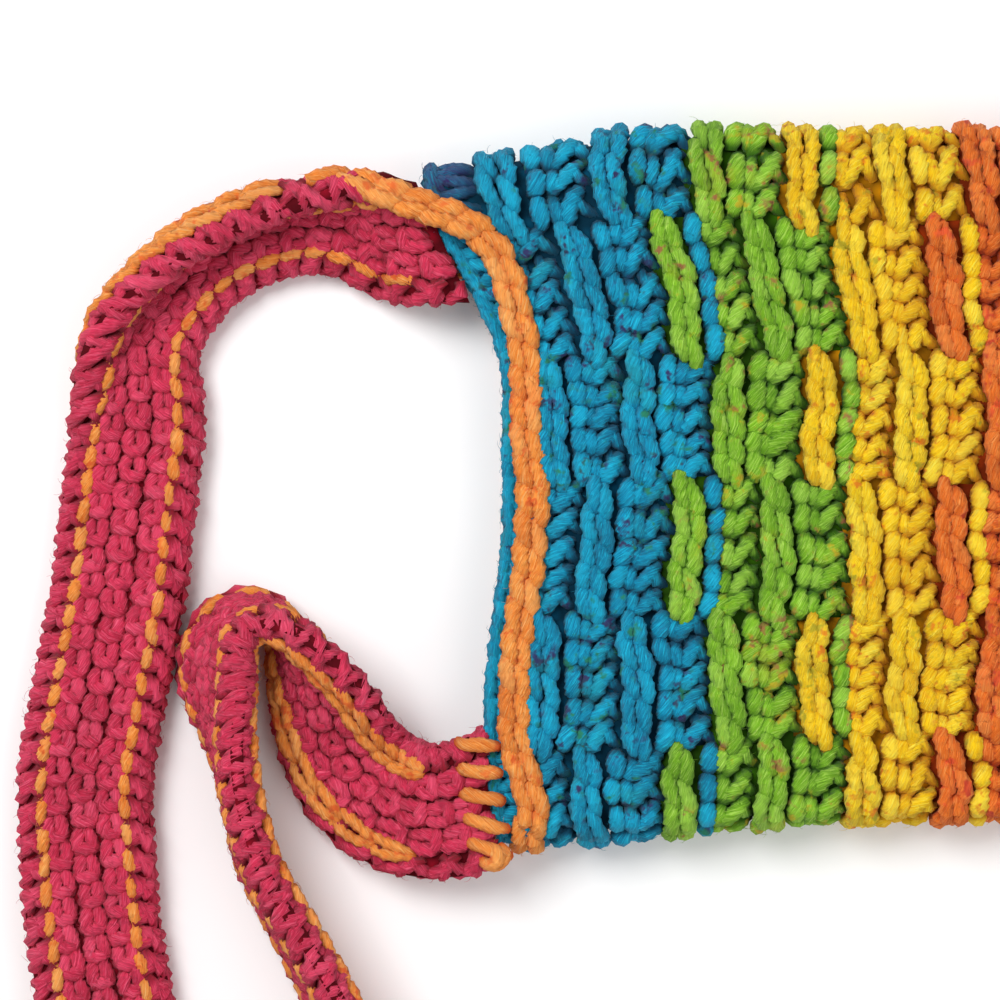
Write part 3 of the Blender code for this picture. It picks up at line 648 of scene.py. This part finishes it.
def addLip(yarn):  # two strands twisted along the mouth's edge, and short ones that fill in behind them
    dice = random.Random(5)
    pitch = stitch["lipPitch"]
    path = ((-0.75, 3.6, -1.5), (-0.35, 1.6, 0.6), (0.0, 0.9, 0.4), (0.4, 1.4, -1.6), (0.75, 3.4, -2.8))
    for k in range(int(wholeWay / pitch)):
        for turn in (0, 1):
            at = (k + turn / 2) * pitch
            layStrand(yarn, dice, path, lambda aside, deep, out: onPouch(at + aside * pitch, deep, out),
                      stitch["lipThick"], 0.7)
    count = int(2 * wholeWay / pitch)
    for k in range(count):
        at = k * wholeWay / count
        lean = 1.5 if k % 2 else -1.2
        path = ((1.8, -lean, -1.2), (4.2, -lean / 2, 0.0), (7.6, lean / 2, 0.2), (11.0, lean, -1.6))
        layStrand(yarn, dice, path, lambda deep, aside, out: onPouch(at + aside, deep, out),
                  stitch["lipFillThick"], 0.7, 0.4)


def addBase(yarn):  # stitches that close the base, from the front round to the back
    dice = random.Random(6)
    full = pouch["lipDepth"] + pouch["rowHeight"] * pouch["rows"]
    count = int((flatSide + quarterTurn) / stitch["basePitch"])
    wide = pouch["edgeTop"] + pouch["edgeBottom"] - 2 * stitch["baseEnds"]
    for k in range(count):
        y = -pouch["edgeBottom"] + stitch["baseEnds"] + (k + 0.5) * wide / count
        alongs = {1: quarterTurn + y - lowFold, -1: wholeWay - quarterTurn - (y - lowFold)}
        for slant, thick in stitch["baseStrands"]:
            places = []
            for wall, past, out in stitch["basePath"]:
                sway = slant * past / 6
                places.append(wobble(dice, onPouch(alongs[wall] + wall * sway, full + past, out)))
            addStrand(yarn, places, thick, dice.random(), 0.75)


def bandCloth(band, firstLine=0):  # the wall under the stitches of one colour, as a closed sheet
    columns = pouch["groups"] * pouch["stitches"]
    lastLine = pouch["rows"] + 1
    alongs = []
    for group in range(pouch["groups"]):
        step = (starts[group + 1] - starts[group]) / pouch["stitches"]
        alongs += [starts[group] + step * k for k in range(pouch["stitches"])]
    depths = [0.0] + [pouch["lipDepth"] + pouch["rowHeight"] * k for k in range(lastLine)]

    def owner(line, column):
        if line < 0 or line >= lastLine:
            return None
        row = line - 1
        group = column % columns // pouch["stitches"]
        return bandOf(row if (row + group) % 2 == 1 else row - 1)

    places = []
    index = {}
    faces = []

    def corner(skin, line, column):
        key = (skin, line, column % columns)
        if key not in index:
            index[key] = len(places)
            out = stitch["clothOut"] if skin else -pouch["wallIn"]
            places.append(onPouch(alongs[column % columns], depths[line], out))
        return index[key]

    for line in range(firstLine, lastLine):
        for column in range(columns):
            if owner(line, column) != band:
                continue
            square = ((line, column), (line + 1, column), (line + 1, column + 1), (line, column + 1))
            faces.append([corner(1, *c) for c in square])
            faces.append([corner(0, *c) for c in reversed(square)])
            beside = ((line, column - 1), (line + 1, column), (line, column + 1), (line - 1, column))
            for k, (first, second) in enumerate(zip(square, square[1:] + square[:1])):
                if owner(*beside[k]) != band and not first[0] == second[0] == lastLine:
                    side = ((1, second), (1, first), (0, first), (0, second))
                    faces.append([corner(skin, *spot) for skin, spot in side])
    if band == len(bandNodes) - 1:  # the base
        for skin, deep in ((1, 5.0), (0, 0.0)):
            middle = len(places)
            places.append(Vector((depths[-1] + pouch["mouthBack"] + deep, 0.0, pouch["midHeight"])))
            for column in range(columns):
                faces.append([corner(skin, lastLine, column), middle, corner(skin, lastLine, column + 1)])
    return faces, places


def wholeCloth():  # without the lip, so that the lip's yarn counts as raised
    faces, places = [], []
    for band in range(len(bandNodes)):
        more, spots = bandCloth(band, 1)
        faces += [[k + len(places) for k in face] for face in more]
        places += spots
    return clothTree(faces, places)


pouchCloth = wholeCloth()


def makePouch():
    bands = [newYarn() for _ in bandNodes]
    addStitches(bands)
    addLip(bands[0])
    addBase(bands[-1])
    for band, (colour, node) in enumerate(zip(bandColours, bandNodes)):
        piece = spin(colour + "Stitches", bands[band], yarns[colour], {"Seed": band + 1}, pouchCloth)
        addCloth(piece, *bandCloth(band), cloths[colour])
        handOver(piece, node)


# A line of points with a way out at each, and the place at any distance along it

def lineFrames(points, ways):
    lengths = [0.0]
    for a, b in zip(points, points[1:]):
        lengths.append(lengths[-1] + (b - a).length)

    def at(distance):
        distance = min(max(distance, 0.0), lengths[-1])
        k = min(max(bisect.bisect_left(lengths, distance) - 1, 0), len(points) - 2)
        share = (distance - lengths[k]) / (lengths[k + 1] - lengths[k])
        place = points[k].lerp(points[k + 1], share)
        way = ways[k].lerp(ways[k + 1], share).normalized()
        before = points[max(0, k - 1)]
        after = points[min(len(points) - 1, k + 2)]
        return place, way, (after - before).normalized()

    return at, lengths[-1]


def spline(rows, at):  # a smooth curve through rows of numbers
    k = min(int(at), len(rows) - 2)
    t = at - k
    p0, p1, p2, p3 = rows[max(k - 1, 0)], rows[k], rows[k + 1], rows[min(k + 2, len(rows) - 1)]
    return [0.5 * (2 * b + (c - a) * t + (2 * a - 5 * b + 4 * c - d) * t * t
                   + (3 * b - a - 3 * c + d) * t * t * t) for a, b, c, d in zip(p0, p1, p2, p3)]


# The strap

strap = {
    "width": 47.0, "pitch": 9.2, "upperJoint": 87.0, "lowerJoint": -100.0, "jointBlend": 30.0, "sewnGap": 0.9,
    "chainIn": 9.2, "height": 20.4, "steps": 40, "braidDrop": 8.05, "dashDrop": 7.3, "edgeDrop": 3.0,
    "columns": (-9.4, 0.0, 9.4), "knotTop": 3.6, "knotThick": 2.8, "knotEnd": 3.0,
    "braid": {"wide": 2.5, "top": 5.9, "low": 3.2, "thick": 2.35, "lean": False, "ends": 0.8},
    "dashTop": 4.9, "dashThick": 2.4, "stop": 12.0, "braidEnds": 26.0,
    "rimMarks": (38.0, 44.0), "rimOut": 3.0, "edgesFrom": 30.0,  # where the rim's braid runs on to the strap
    "cloth": (22.2, 3.0), "slimCloth": (18.8, 1.2), "clothStep": 4.6,  # half a width and half a thickness
    "edgeThick": 2.95,
    # strands over an edge: how thick, how far on in pitches, and their places across, out and along
    "edges": (
        (1.0, 0.0, ((14.6, 4.2, -9.0), (17.8, 4.4, -5.5), (20.6, 2.2, -1.5),
                    (20.6, -1.6, 2.5), (18.0, -4.2, 6.5), (14.6, -4.2, 9.5))),
        (0.8, 0.5, ((14.6, 3.4, -1.2), (18.6, 4.6, -0.8), (21.2, 1.6, 0.0),
                    (21.2, -1.6, 0.4), (18.6, -4.6, 0.8), (14.6, -3.4, 1.2))),
        (0.85, 0.25, ((14.2, 4.0, 6.5), (17.4, 4.2, 3.5), (19.8, 1.8, 1.0),
                      (19.8, -1.8, -1.5), (17.4, -4.2, -4.0), (14.2, -4.0, -6.5)))),
    # x, y, tilt, curl and least height of its middle, as the solid strap lies; 0 where left out
    "route": (
        (-29, 88, 0, 0, 20), (-40, 89, 12, 32, 16), (-53, 90, 20, 82, 8), (-68, 90, 20, 118, 0),
        (-85, 85, 18, 134, 0), (-100, 76, 15, 130, 0), (-113, 62, 12, 110, 0), (-120, 48, 8, 70, 0),
        (-123, 32, 5, 30, 0), (-125, 15, 0), (-128, -7, 0), (-131, -34, 0), (-137, -65, 0),
        (-142, -95, 0), (-141, -122, 3), (-139, -146, 6), (-133, -184, 10), (-128, -224, 15),
        (-122, -269, 22), (-114, -306, 30), (-97, -340, 38), (-68, -357, 46), (-39, -343, 52),
        (-26, -309, 57), (-26, -269, 62), (-34, -228, 67), (-48, -190, 72), (-63, -158, 76),
        (-80, -127, 80), (-85, -112, 82), (-89, -95, 82), (-92, -80, 76), (-95, -67, 64), (-96, -55, 58),
        (-92, -44, 66), (-82, -39, 80), (-72, -44, 98), (-66, -56, 119), (-60, -70, 141), (-53, -87, 160),
        (-43, -99, 172, 0, 10), (-30, -105, 177, 0, 17), (-16, -105, 180, 0, 20),
    ),
}


def jointAt(y):
    half = strap["width"] / 2
    way = Vector((mouthEdge(y + half) - mouthEdge(y - half), 2 * half, 0.0)).normalized()
    return Vector((mouthEdge(y) - strap["sewnGap"], y, 0.0)), way


def sectionLine(tilt, curl):  # the strap's section from its inner edge to its outer one
    line = []
    outward = up = 0.0
    for k in range(strap["steps"] + 1):
        angle = math.radians(tilt + curl * ease((k / strap["steps"] - 0.30) / 0.70))
        line.append((outward, up, angle))
        outward += math.cos(angle) * strap["width"] / strap["steps"]
        up += math.sin(angle) * strap["width"] / strap["steps"]
    middle = (min(p[0] for p in line) + max(p[0] for p in line)) / 2
    centre = (min(p[1] for p in line) + max(p[1] for p in line)) / 2
    return [(p[0] - middle, p[1] - centre, p[2]) for p in line]


def onSection(line, across, out):
    share = 0.5 + across / strap["width"]
    at = min(max(share, 0.0), 1.0) * strap["steps"]
    k = min(int(at), strap["steps"] - 1)
    first, second = line[k], line[k + 1]
    outward, up, angle = (a + (b - a) * (at - k) for a, b in zip(first, second))
    beyond = (share - min(max(share, 0.0), 1.0)) * strap["width"]
    return (outward + math.cos(angle) * beyond - math.sin(angle) * out,
            up + math.sin(angle) * beyond + math.cos(angle) * out)


def strapFrames():
    start, finish = jointAt(strap["upperJoint"])[0], jointAt(strap["lowerJoint"])[0]
    rows = [(start.x, start.y, 0, 0, strap["height"]), *strap["route"],
            (finish.x, finish.y, 180, 0, strap["height"])]
    rows = [row + (0,) * (5 - len(row)) for row in rows]
    frames = []
    mark = 0.0
    for k in range((len(rows) - 1) * 10 + 1):
        at = k / 10
        x, y, tilt, curl, floor = spline(rows, at)
        if frames:
            mark += math.hypot(x - frames[-1]["at"].x, y - frames[-1]["at"].y)
        ahead, behind = spline(rows, min(at + 0.02, len(rows) - 1)), spline(rows, max(at - 0.02, 0))
        onward = Vector((ahead[0] - behind[0], ahead[1] - behind[1], 0.0)).normalized()
        line = sectionLine(max(0.0, tilt), max(0.0, curl))
        frames.append({"at": Vector((x, y, floor)), "mark": mark, "line": line,
                       "outward": Vector((onward.y, -onward.x, 0.0))})
    half = strap["width"] / 2
    side = half - strap["chainIn"]
    corners = [(s, o) for s in (-side, side) for o in (strap["dashDrop"], -strap["braidDrop"])]
    corners += [(s, o) for s in (-half, half) for o in (strap["edgeDrop"], -strap["edgeDrop"])]
    for spot in frames:
        for joint, away, sign in ((strap["upperJoint"], spot["mark"], 1),
                                  (strap["lowerJoint"], mark - spot["mark"], -1)):
            weight = 1 - ease(away / strap["jointBlend"])
            sewn = jointAt(joint)[1] * sign * weight
            spot["outward"] = (spot["outward"] * (1 - weight) + sewn).normalized()
        spot["at"].z = max(spot["at"].z, -min(onSection(spot["line"], *c)[1] for c in corners))
    return frames, mark


def onStrap(mark, across, out):  # out is towards the side with the dashes
    k = min(max(bisect.bisect_right(strapMarks, mark) - 1, 0), len(strapLine) - 2)
    first, second = strapLine[k:k + 2]
    share = (mark - first["mark"]) / (second["mark"] - first["mark"])
    ends = []
    for spot in (first, second):
        outward, up = onSection(spot["line"], across, out)
        ends.append(spot["at"] + spot["outward"] * outward + Vector((0, 0, up)))
    return ends[0].lerp(ends[1], share)


strapLine, strapLength = strapFrames()
strapMarks = [spot["mark"] for spot in strapLine]


def alongStrap(mark, across, out):  # the same, kept off the strap's very ends
    return onStrap(min(max(mark, 0.5), strapLength - 0.5), across, out)


def addKnot(yarn, dice, mark, across, face):  # one single crochet: two legs and the loop over them
    top = strap["knotTop"]
    swing = dice.uniform(-0.5, 0.5)
    legs = (((-4.8, -0.8, 1.2), (-2.2, -1.8, top), (1.0, -2.5, top), (4.0, -2.2, top - 1), (5.6, -1.2, 1.0)),
            ((-4.6, 0.8, 1.2), (-1.8, 1.9, top - 0.2), (1.2, 2.6, top), (4.2, 2.0, top - 1), (5.6, 1.0, 1.0)),
            ((2.8, -4.6, 1.0), (3.6, -2.2, top - 0.1), (3.9, 0.2, top + 0.4), (3.4, 2.4, top - 0.1),
             (2.6, 4.6, 1.0)))

    def legAt(on, aside, out):
        return alongStrap(mark + on, across + aside + swing, face * out)

    for leg in legs:
        layStrand(yarn, dice, leg, legAt, strap["knotThick"], 0.6, 0.5)


def addEdges(yarn, dice, mark, side):  # strands that wrap the strap's edge
    for thick, shift, path in strap["edges"]:
        start = mark + shift * strap["pitch"]
        layStrand(yarn, dice, path, lambda across, out, on: alongStrap(start + on, side * across, out),
                  strap["edgeThick"] * thick, 0.75, 0.45)


def strapCloth(wide, thick):
    top = ((-wide, 0.7 * thick), (-0.7 * wide, thick), (-0.2 * wide, thick),
           (0.2 * wide, thick), (0.7 * wide, thick), (wide, 0.7 * thick))
    corners = top + tuple((across, -out) for across, out in reversed(top))
    count = int(strapLength / strap["clothStep"])
    places = [onStrap(strapLength * k / count, *c) for k in range(count + 1) for c in corners]
    sides = len(corners)
    faces = [tuple(range(sides)), tuple(range(count * sides, (count + 1) * sides))]
    for k in range(count):
        for s in range(sides):
            after = (s + 1) % sides
            faces.append((k * sides + s, k * sides + after, (k + 1) * sides + after, (k + 1) * sides + s))
    return faces, places


strapBase = clothTree(*strapCloth(*strap["slimCloth"]))


def makeStrap():
    faceYarns = {1: newYarn(), -1: newYarn()}
    edges = newYarn()
    rows = round(strapLength / strap["pitch"])
    pitch = strapLength / rows
    for row in range(rows):
        dice = random.Random(300 + row)
        mark = (row + 0.5) * pitch
        for face in (1, -1):
            for number, across in enumerate(strap["columns"]):
                shift = pitch / 2 if number == 1 else 0.0
                if mark + shift < strapLength - strap["knotEnd"]:
                    addKnot(faceYarns[face], dice, mark + shift, across, face)
        for side in (-1, 1):
            if side < 0 or mark > strap["edgesFrom"]:
                addEdges(edges, dice, mark, side)
    coarse = {"Rings": 7, "Sides": 7}
    pieces = [spin("strapDashFace", faceYarns[1], yarns["pink"], {"Seed": 11, **coarse}, strapBase),
              spin("strapBraidFace", faceYarns[-1], yarns["pink"], {"Seed": 13, **coarse}, strapBase),
              spin("strapEdges", edges, yarns["pink"], {"Seed": 12}, strapBase)]
    addCloth(pieces[0], *strapCloth(*strap["cloth"]), cloths["pink"])
    for piece in pieces:
        handOver(piece, "strap")


def makeStrapChains():
    side = strap["width"] / 2 - strap["chainIn"]
    stop = strap["stop"]
    pitch = strap["pitch"]
    top = strap["dashTop"]
    braidEnd = strapLength - strap["braidEnds"]
    path = ((-5.0, -0.9, 1.8), (-3.0, -0.6, top - 0.4), (0.0, 0.0, top), (3.0, 0.6, top - 0.4),
            (5.0, 0.9, 1.8))
    for name, sign in (("outer", 1), ("inner", -1)):
        dice = random.Random(40 + sign)
        first = stop if sign < 0 else strap["rimMarks"][-1]
        braid = newYarn()
        addChain(braid,
                 lambda link, aside, out: alongStrap(braidEnd - link * pitch, sign * side + aside, -out),
                 int((braidEnd - first) / pitch), dice, strap["braid"])
        dashes = newYarn()
        for k in range(int((strapLength - 2 * stop) / pitch)):
            mark = stop + (k + 0.5) * pitch
            lean = dice.uniform(0.2, 1.0) * sign
            layStrand(dashes, dice, path,
                      lambda on, aside, out: alongStrap(mark + on, sign * side + aside * lean, out),
                      strap["dashThick"], 0.5, 0.3, (0.9, 1.12))
        for kind, yarn in (("Braid", braid), ("Dashes", dashes)):
            title = "strap" + kind + name.capitalize()
            piece = spin(title, yarn, yarns["braid"], {"Seed": 20 + sign}, strapBase)
            handOver(piece, "strap_%s_%s" % (kind.lower(), name))


# The rim's braid, from the back round the lower fold, up the front and on to the strap

rim = {
    "chain": {"wide": 3.1, "top": 2.9, "low": 0.2, "thick": 3.15, "lean": True, "ends": 1.0}, "pitch": 9.8,
    "backDepth": 7.0, "foldDrift": 4.0, "out": 1.0, "lift": 2.7, "backSteps": 46, "foldSteps": 9,
    "rise": 3.2, "riseFrom": -4.0, "riseOver": 14,  # how it climbs on to the strap
    "frontX": (12.5, 11.5, 8.5, 5.1, 5.1, 5.4, 7.5, 9.5, 10.5, 11.0, 8.8, 8.8, 8.2, 5.4, 3.1, -1.0, -9.2,
               -21.8, -34.0),
    "frontY": (-112, -106, -93, -80, -67, -54, -37, -23, -10, 5, 22, 38, 51, 63, 73, 83, 91.5, 97.2, 101.3),
}


def frontHeight(x, y):  # height of the rim on the front wall, or before the mouth
    depth = max(0.0, x - mouthEdge(y))
    pinch = pouch["mouthPinch"] * math.exp(-(depth / pouch["pinchReach"]) ** 2)
    return pouch["midHeight"] + pouch["wallHalf"] + rim["lift"] - pinch


def makeRim():
    points, ways = [], []
    backStart = quarterTurn + flatSide + 2 * quarterTurn
    for k in range(rim["backSteps"]):
        points.append(onPouch(backStart + flatSide * k / rim["backSteps"], rim["backDepth"], rim["out"]))
        ways.append(Vector((0, 0, -1)))
    for k in range(1, rim["foldSteps"]):
        turn = k / rim["foldSteps"]
        along = -quarterTurn + 2 * quarterTurn * turn
        points.append(onPouch(along, rim["backDepth"] + rim["foldDrift"] * turn, rim["out"]))
        ways.append(Vector((0, *outline(along)[2])))
    route = list(zip(rim["frontX"], rim["frontY"]))
    for k in range(2, (len(route) - 1) * 3 + 1):
        x, y = spline(route, k / 3)
        rise = rim["rise"] * ease((rim["riseFrom"] - x) / rim["riseOver"])
        points.append(Vector((x, y, frontHeight(x, y) + rise)))
        ways.append(Vector((0, 0, 1)))
    side = strap["width"] / 2 - strap["chainIn"]
    for mark in strap["rimMarks"]:
        points.append(onStrap(mark, side, -strap["rimOut"]))
        ways.append((onStrap(mark, side, -strap["rimOut"] - 1.0) - points[-1]).normalized())
    at, length = lineFrames(points, ways)
    links = int(length / rim["pitch"])
    pitch = length / links

    def placeAt(link, across, out):
        place, way, onward = at(link * pitch)
        return place + onward.cross(way).normalized() * across + way * out

    yarn = newYarn()
    addChain(yarn, placeAt, links, random.Random(8), rim["chain"])
    handOver(spin("rimBraid", yarn, yarns["braid"], {"Seed": 31}, pouchCloth), "rim_braid")


# Whip stitches at the joints

whips = {
    "lower": 5, "upper": 3, "pitch": 9.0, "thick": 2.5, "fan": 0.5,
    # places across the joint, along it and over the strap's middle; the knots are in the yarn's end
    "path": ((-9.6, 2.6, 3.2), (-7.4, 1.9, 6.2), (-3.4, 0.5, 7.3), (0.6, -0.9, 6.8), (3.6, -1.9, 4.4)),
    "knots": (((-6.0, -2.5, 4.5), (-3.5, -4.2, 6.8), (-0.5, -2.5, 8.4), (-1.5, 0.8, 7.6), (-4.5, 1.4, 5.0)),
              ((-4.8, -4.6, 3.6), (-1.8, -4.8, 5.6), (1.0, -3.2, 6.4), (1.8, -0.6, 5.4), (0.5, 1.2, 4.0))),
}


def makeWhips():
    for name, joint, face in (("lower", strap["lowerJoint"], 1), ("upper", strap["upperJoint"], -1)):
        way = jointAt(joint)[1]
        across = Vector((way.y, -way.x, 0.0))
        for number in range(whips[name]):
            dice = random.Random(60 + number)
            off = number - (whips[name] - 1) / 2
            y = joint + whips["pitch"] * off * way.y
            edge = Vector((mouthEdge(y), y, strap["height"]))
            fan = off * whips["fan"]
            yarn = newYarn()
            places = [edge + across * a + way * (w + fan * a / 8) + Vector((0, 0, face * o))
                      for a, w, o in whips["path"]]
            places = [wobble(dice, place, 0.4) for place in places]
            addStrand(yarn, places, whips["thick"], dice.random(), 0.8)
            if name == "lower" and number == 0:
                for knot in whips["knots"]:
                    places = [edge + across * a + way * w + Vector((0, 0, o)) for a, w, o in knot]
                    addStrand(yarn, places, whips["thick"], dice.random(), 0.8)
            title = "whip%s%d" % (name.capitalize(), number + 1)
            piece = spin(title, yarn, yarns["braid"], {"Seed": 70 + number, "Rings": 12}, strapBase)
            handOver(piece, "whip_%s_%d" % (name, number + 1))


makePouch()
makeStrap()
makeStrapChains()
makeRim()
makeWhips()


# Floor, light and camera

studio = {
    "height": 1.0, "frameWide": 0.34, "aimHeight": 0.015, "sensor": 36.0, "seesTo": 20.0,
    "floor": {"Base Color": (0.93, 0.93, 0.93, 1.0), "Roughness": 0.9},
    "floorSize": 40.0, "floorDrop": 0.0002, "sweepFrom": 0.35, "sweepTo": 1.1, "roomLight": 0.45,
    # each lamp's name, place, size and power
    "lamps": (("softBox", (-0.6, 0.7, 1.3), 0.8, 19.0), ("fill", (0.8, -0.5, 1.1), 1.2, 7.0)),
}


def whiteWhereSeen(tree, plain, white, share=None):  # white for rays from the camera, mirrors and glass
    path = tree.nodes.new("ShaderNodeLightPath").outputs
    seen = numberMath(tree, "MAXIMUM", path["Is Camera Ray"], path["Is Glossy Ray"])
    seen = numberMath(tree, "MAXIMUM", seen, path["Is Transmission Ray"])
    mixed = tree.nodes.new("ShaderNodeMixShader")
    if share:
        seen = numberMath(tree, "MULTIPLY", share, seen)
    tree.links.new(seen, mixed.inputs["Fac"])
    tree.links.new(plain.outputs[0], mixed.inputs[1])
    tree.links.new(white.outputs[0], mixed.inputs[2])
    return mixed.outputs[0]


def addFloor():
    bpy.ops.mesh.primitive_plane_add(size=studio["floorSize"])
    floor = bpy.context.object
    floor.name = "floor"
    floor.location.z = -studio["floorDrop"]
    material, shader, new, link = startMaterial("paleFloor", studio["floor"])
    tree = material.node_tree
    far = new("ShaderNodeMapRange")
    far.interpolation_type = "SMOOTHSTEP"
    far.inputs["From Min"].default_value = studio["sweepFrom"]
    far.inputs["From Max"].default_value = studio["sweepTo"]
    here = new("ShaderNodeTexCoord").outputs["Object"]
    link(vectorMath(tree, "DISTANCE", here, (0.0, 0.0, 0.0)), far.inputs["Value"])
    surface = whiteWhereSeen(tree, shader, new("ShaderNodeEmission"), far.outputs["Result"])
    link(surface, tree.nodes["Material Output"].inputs["Surface"])
    floor.data.materials.append(material)


def addItem(name, data, place):
    item = bpy.data.objects.new(name, data)
    item.location = place
    bpy.context.scene.collection.objects.link(item)
    return item


def addLamp(name, place, size, power):
    lamp = bpy.data.lights.new(name, "AREA")
    lamp.shape = "SQUARE"
    lamp.size = size
    lamp.energy = power
    addItem(name, lamp, place).rotation_euler = (-Vector(place)).to_track_quat("-Z", "Y").to_euler()


def addCamera():
    lens = bpy.data.cameras.new("camera")
    lens.sensor_width = studio["sensor"]
    lens.lens = studio["sensor"] * studio["height"] / studio["frameWide"]
    lens.clip_end = studio["seesTo"]
    x, y = pouch["mouthAt"]
    place = (x / 1000, y / 1000, studio["aimHeight"] + studio["height"])
    bpy.context.scene.camera = addItem("camera", lens, place)


def addWorld():
    world = bpy.data.worlds.new("paleRoom")
    world.use_nodes = True
    tree = world.node_tree
    light = tree.nodes["Background"]
    white = tree.nodes.new("ShaderNodeBackground")
    for node in (light, white):
        node.inputs["Color"].default_value = (1.0, 1.0, 1.0, 1.0)
    light.inputs["Strength"].default_value = studio["roomLight"]
    tree.links.new(whiteWhereSeen(tree, light, white), tree.nodes["World Output"].inputs["Surface"])
    bpy.context.scene.world = world


addFloor()
addWorld()
for lamp in studio["lamps"]:
    addLamp(*lamp)
addCamera()
bpy.context.scene.view_settings.view_transform = "Standard"
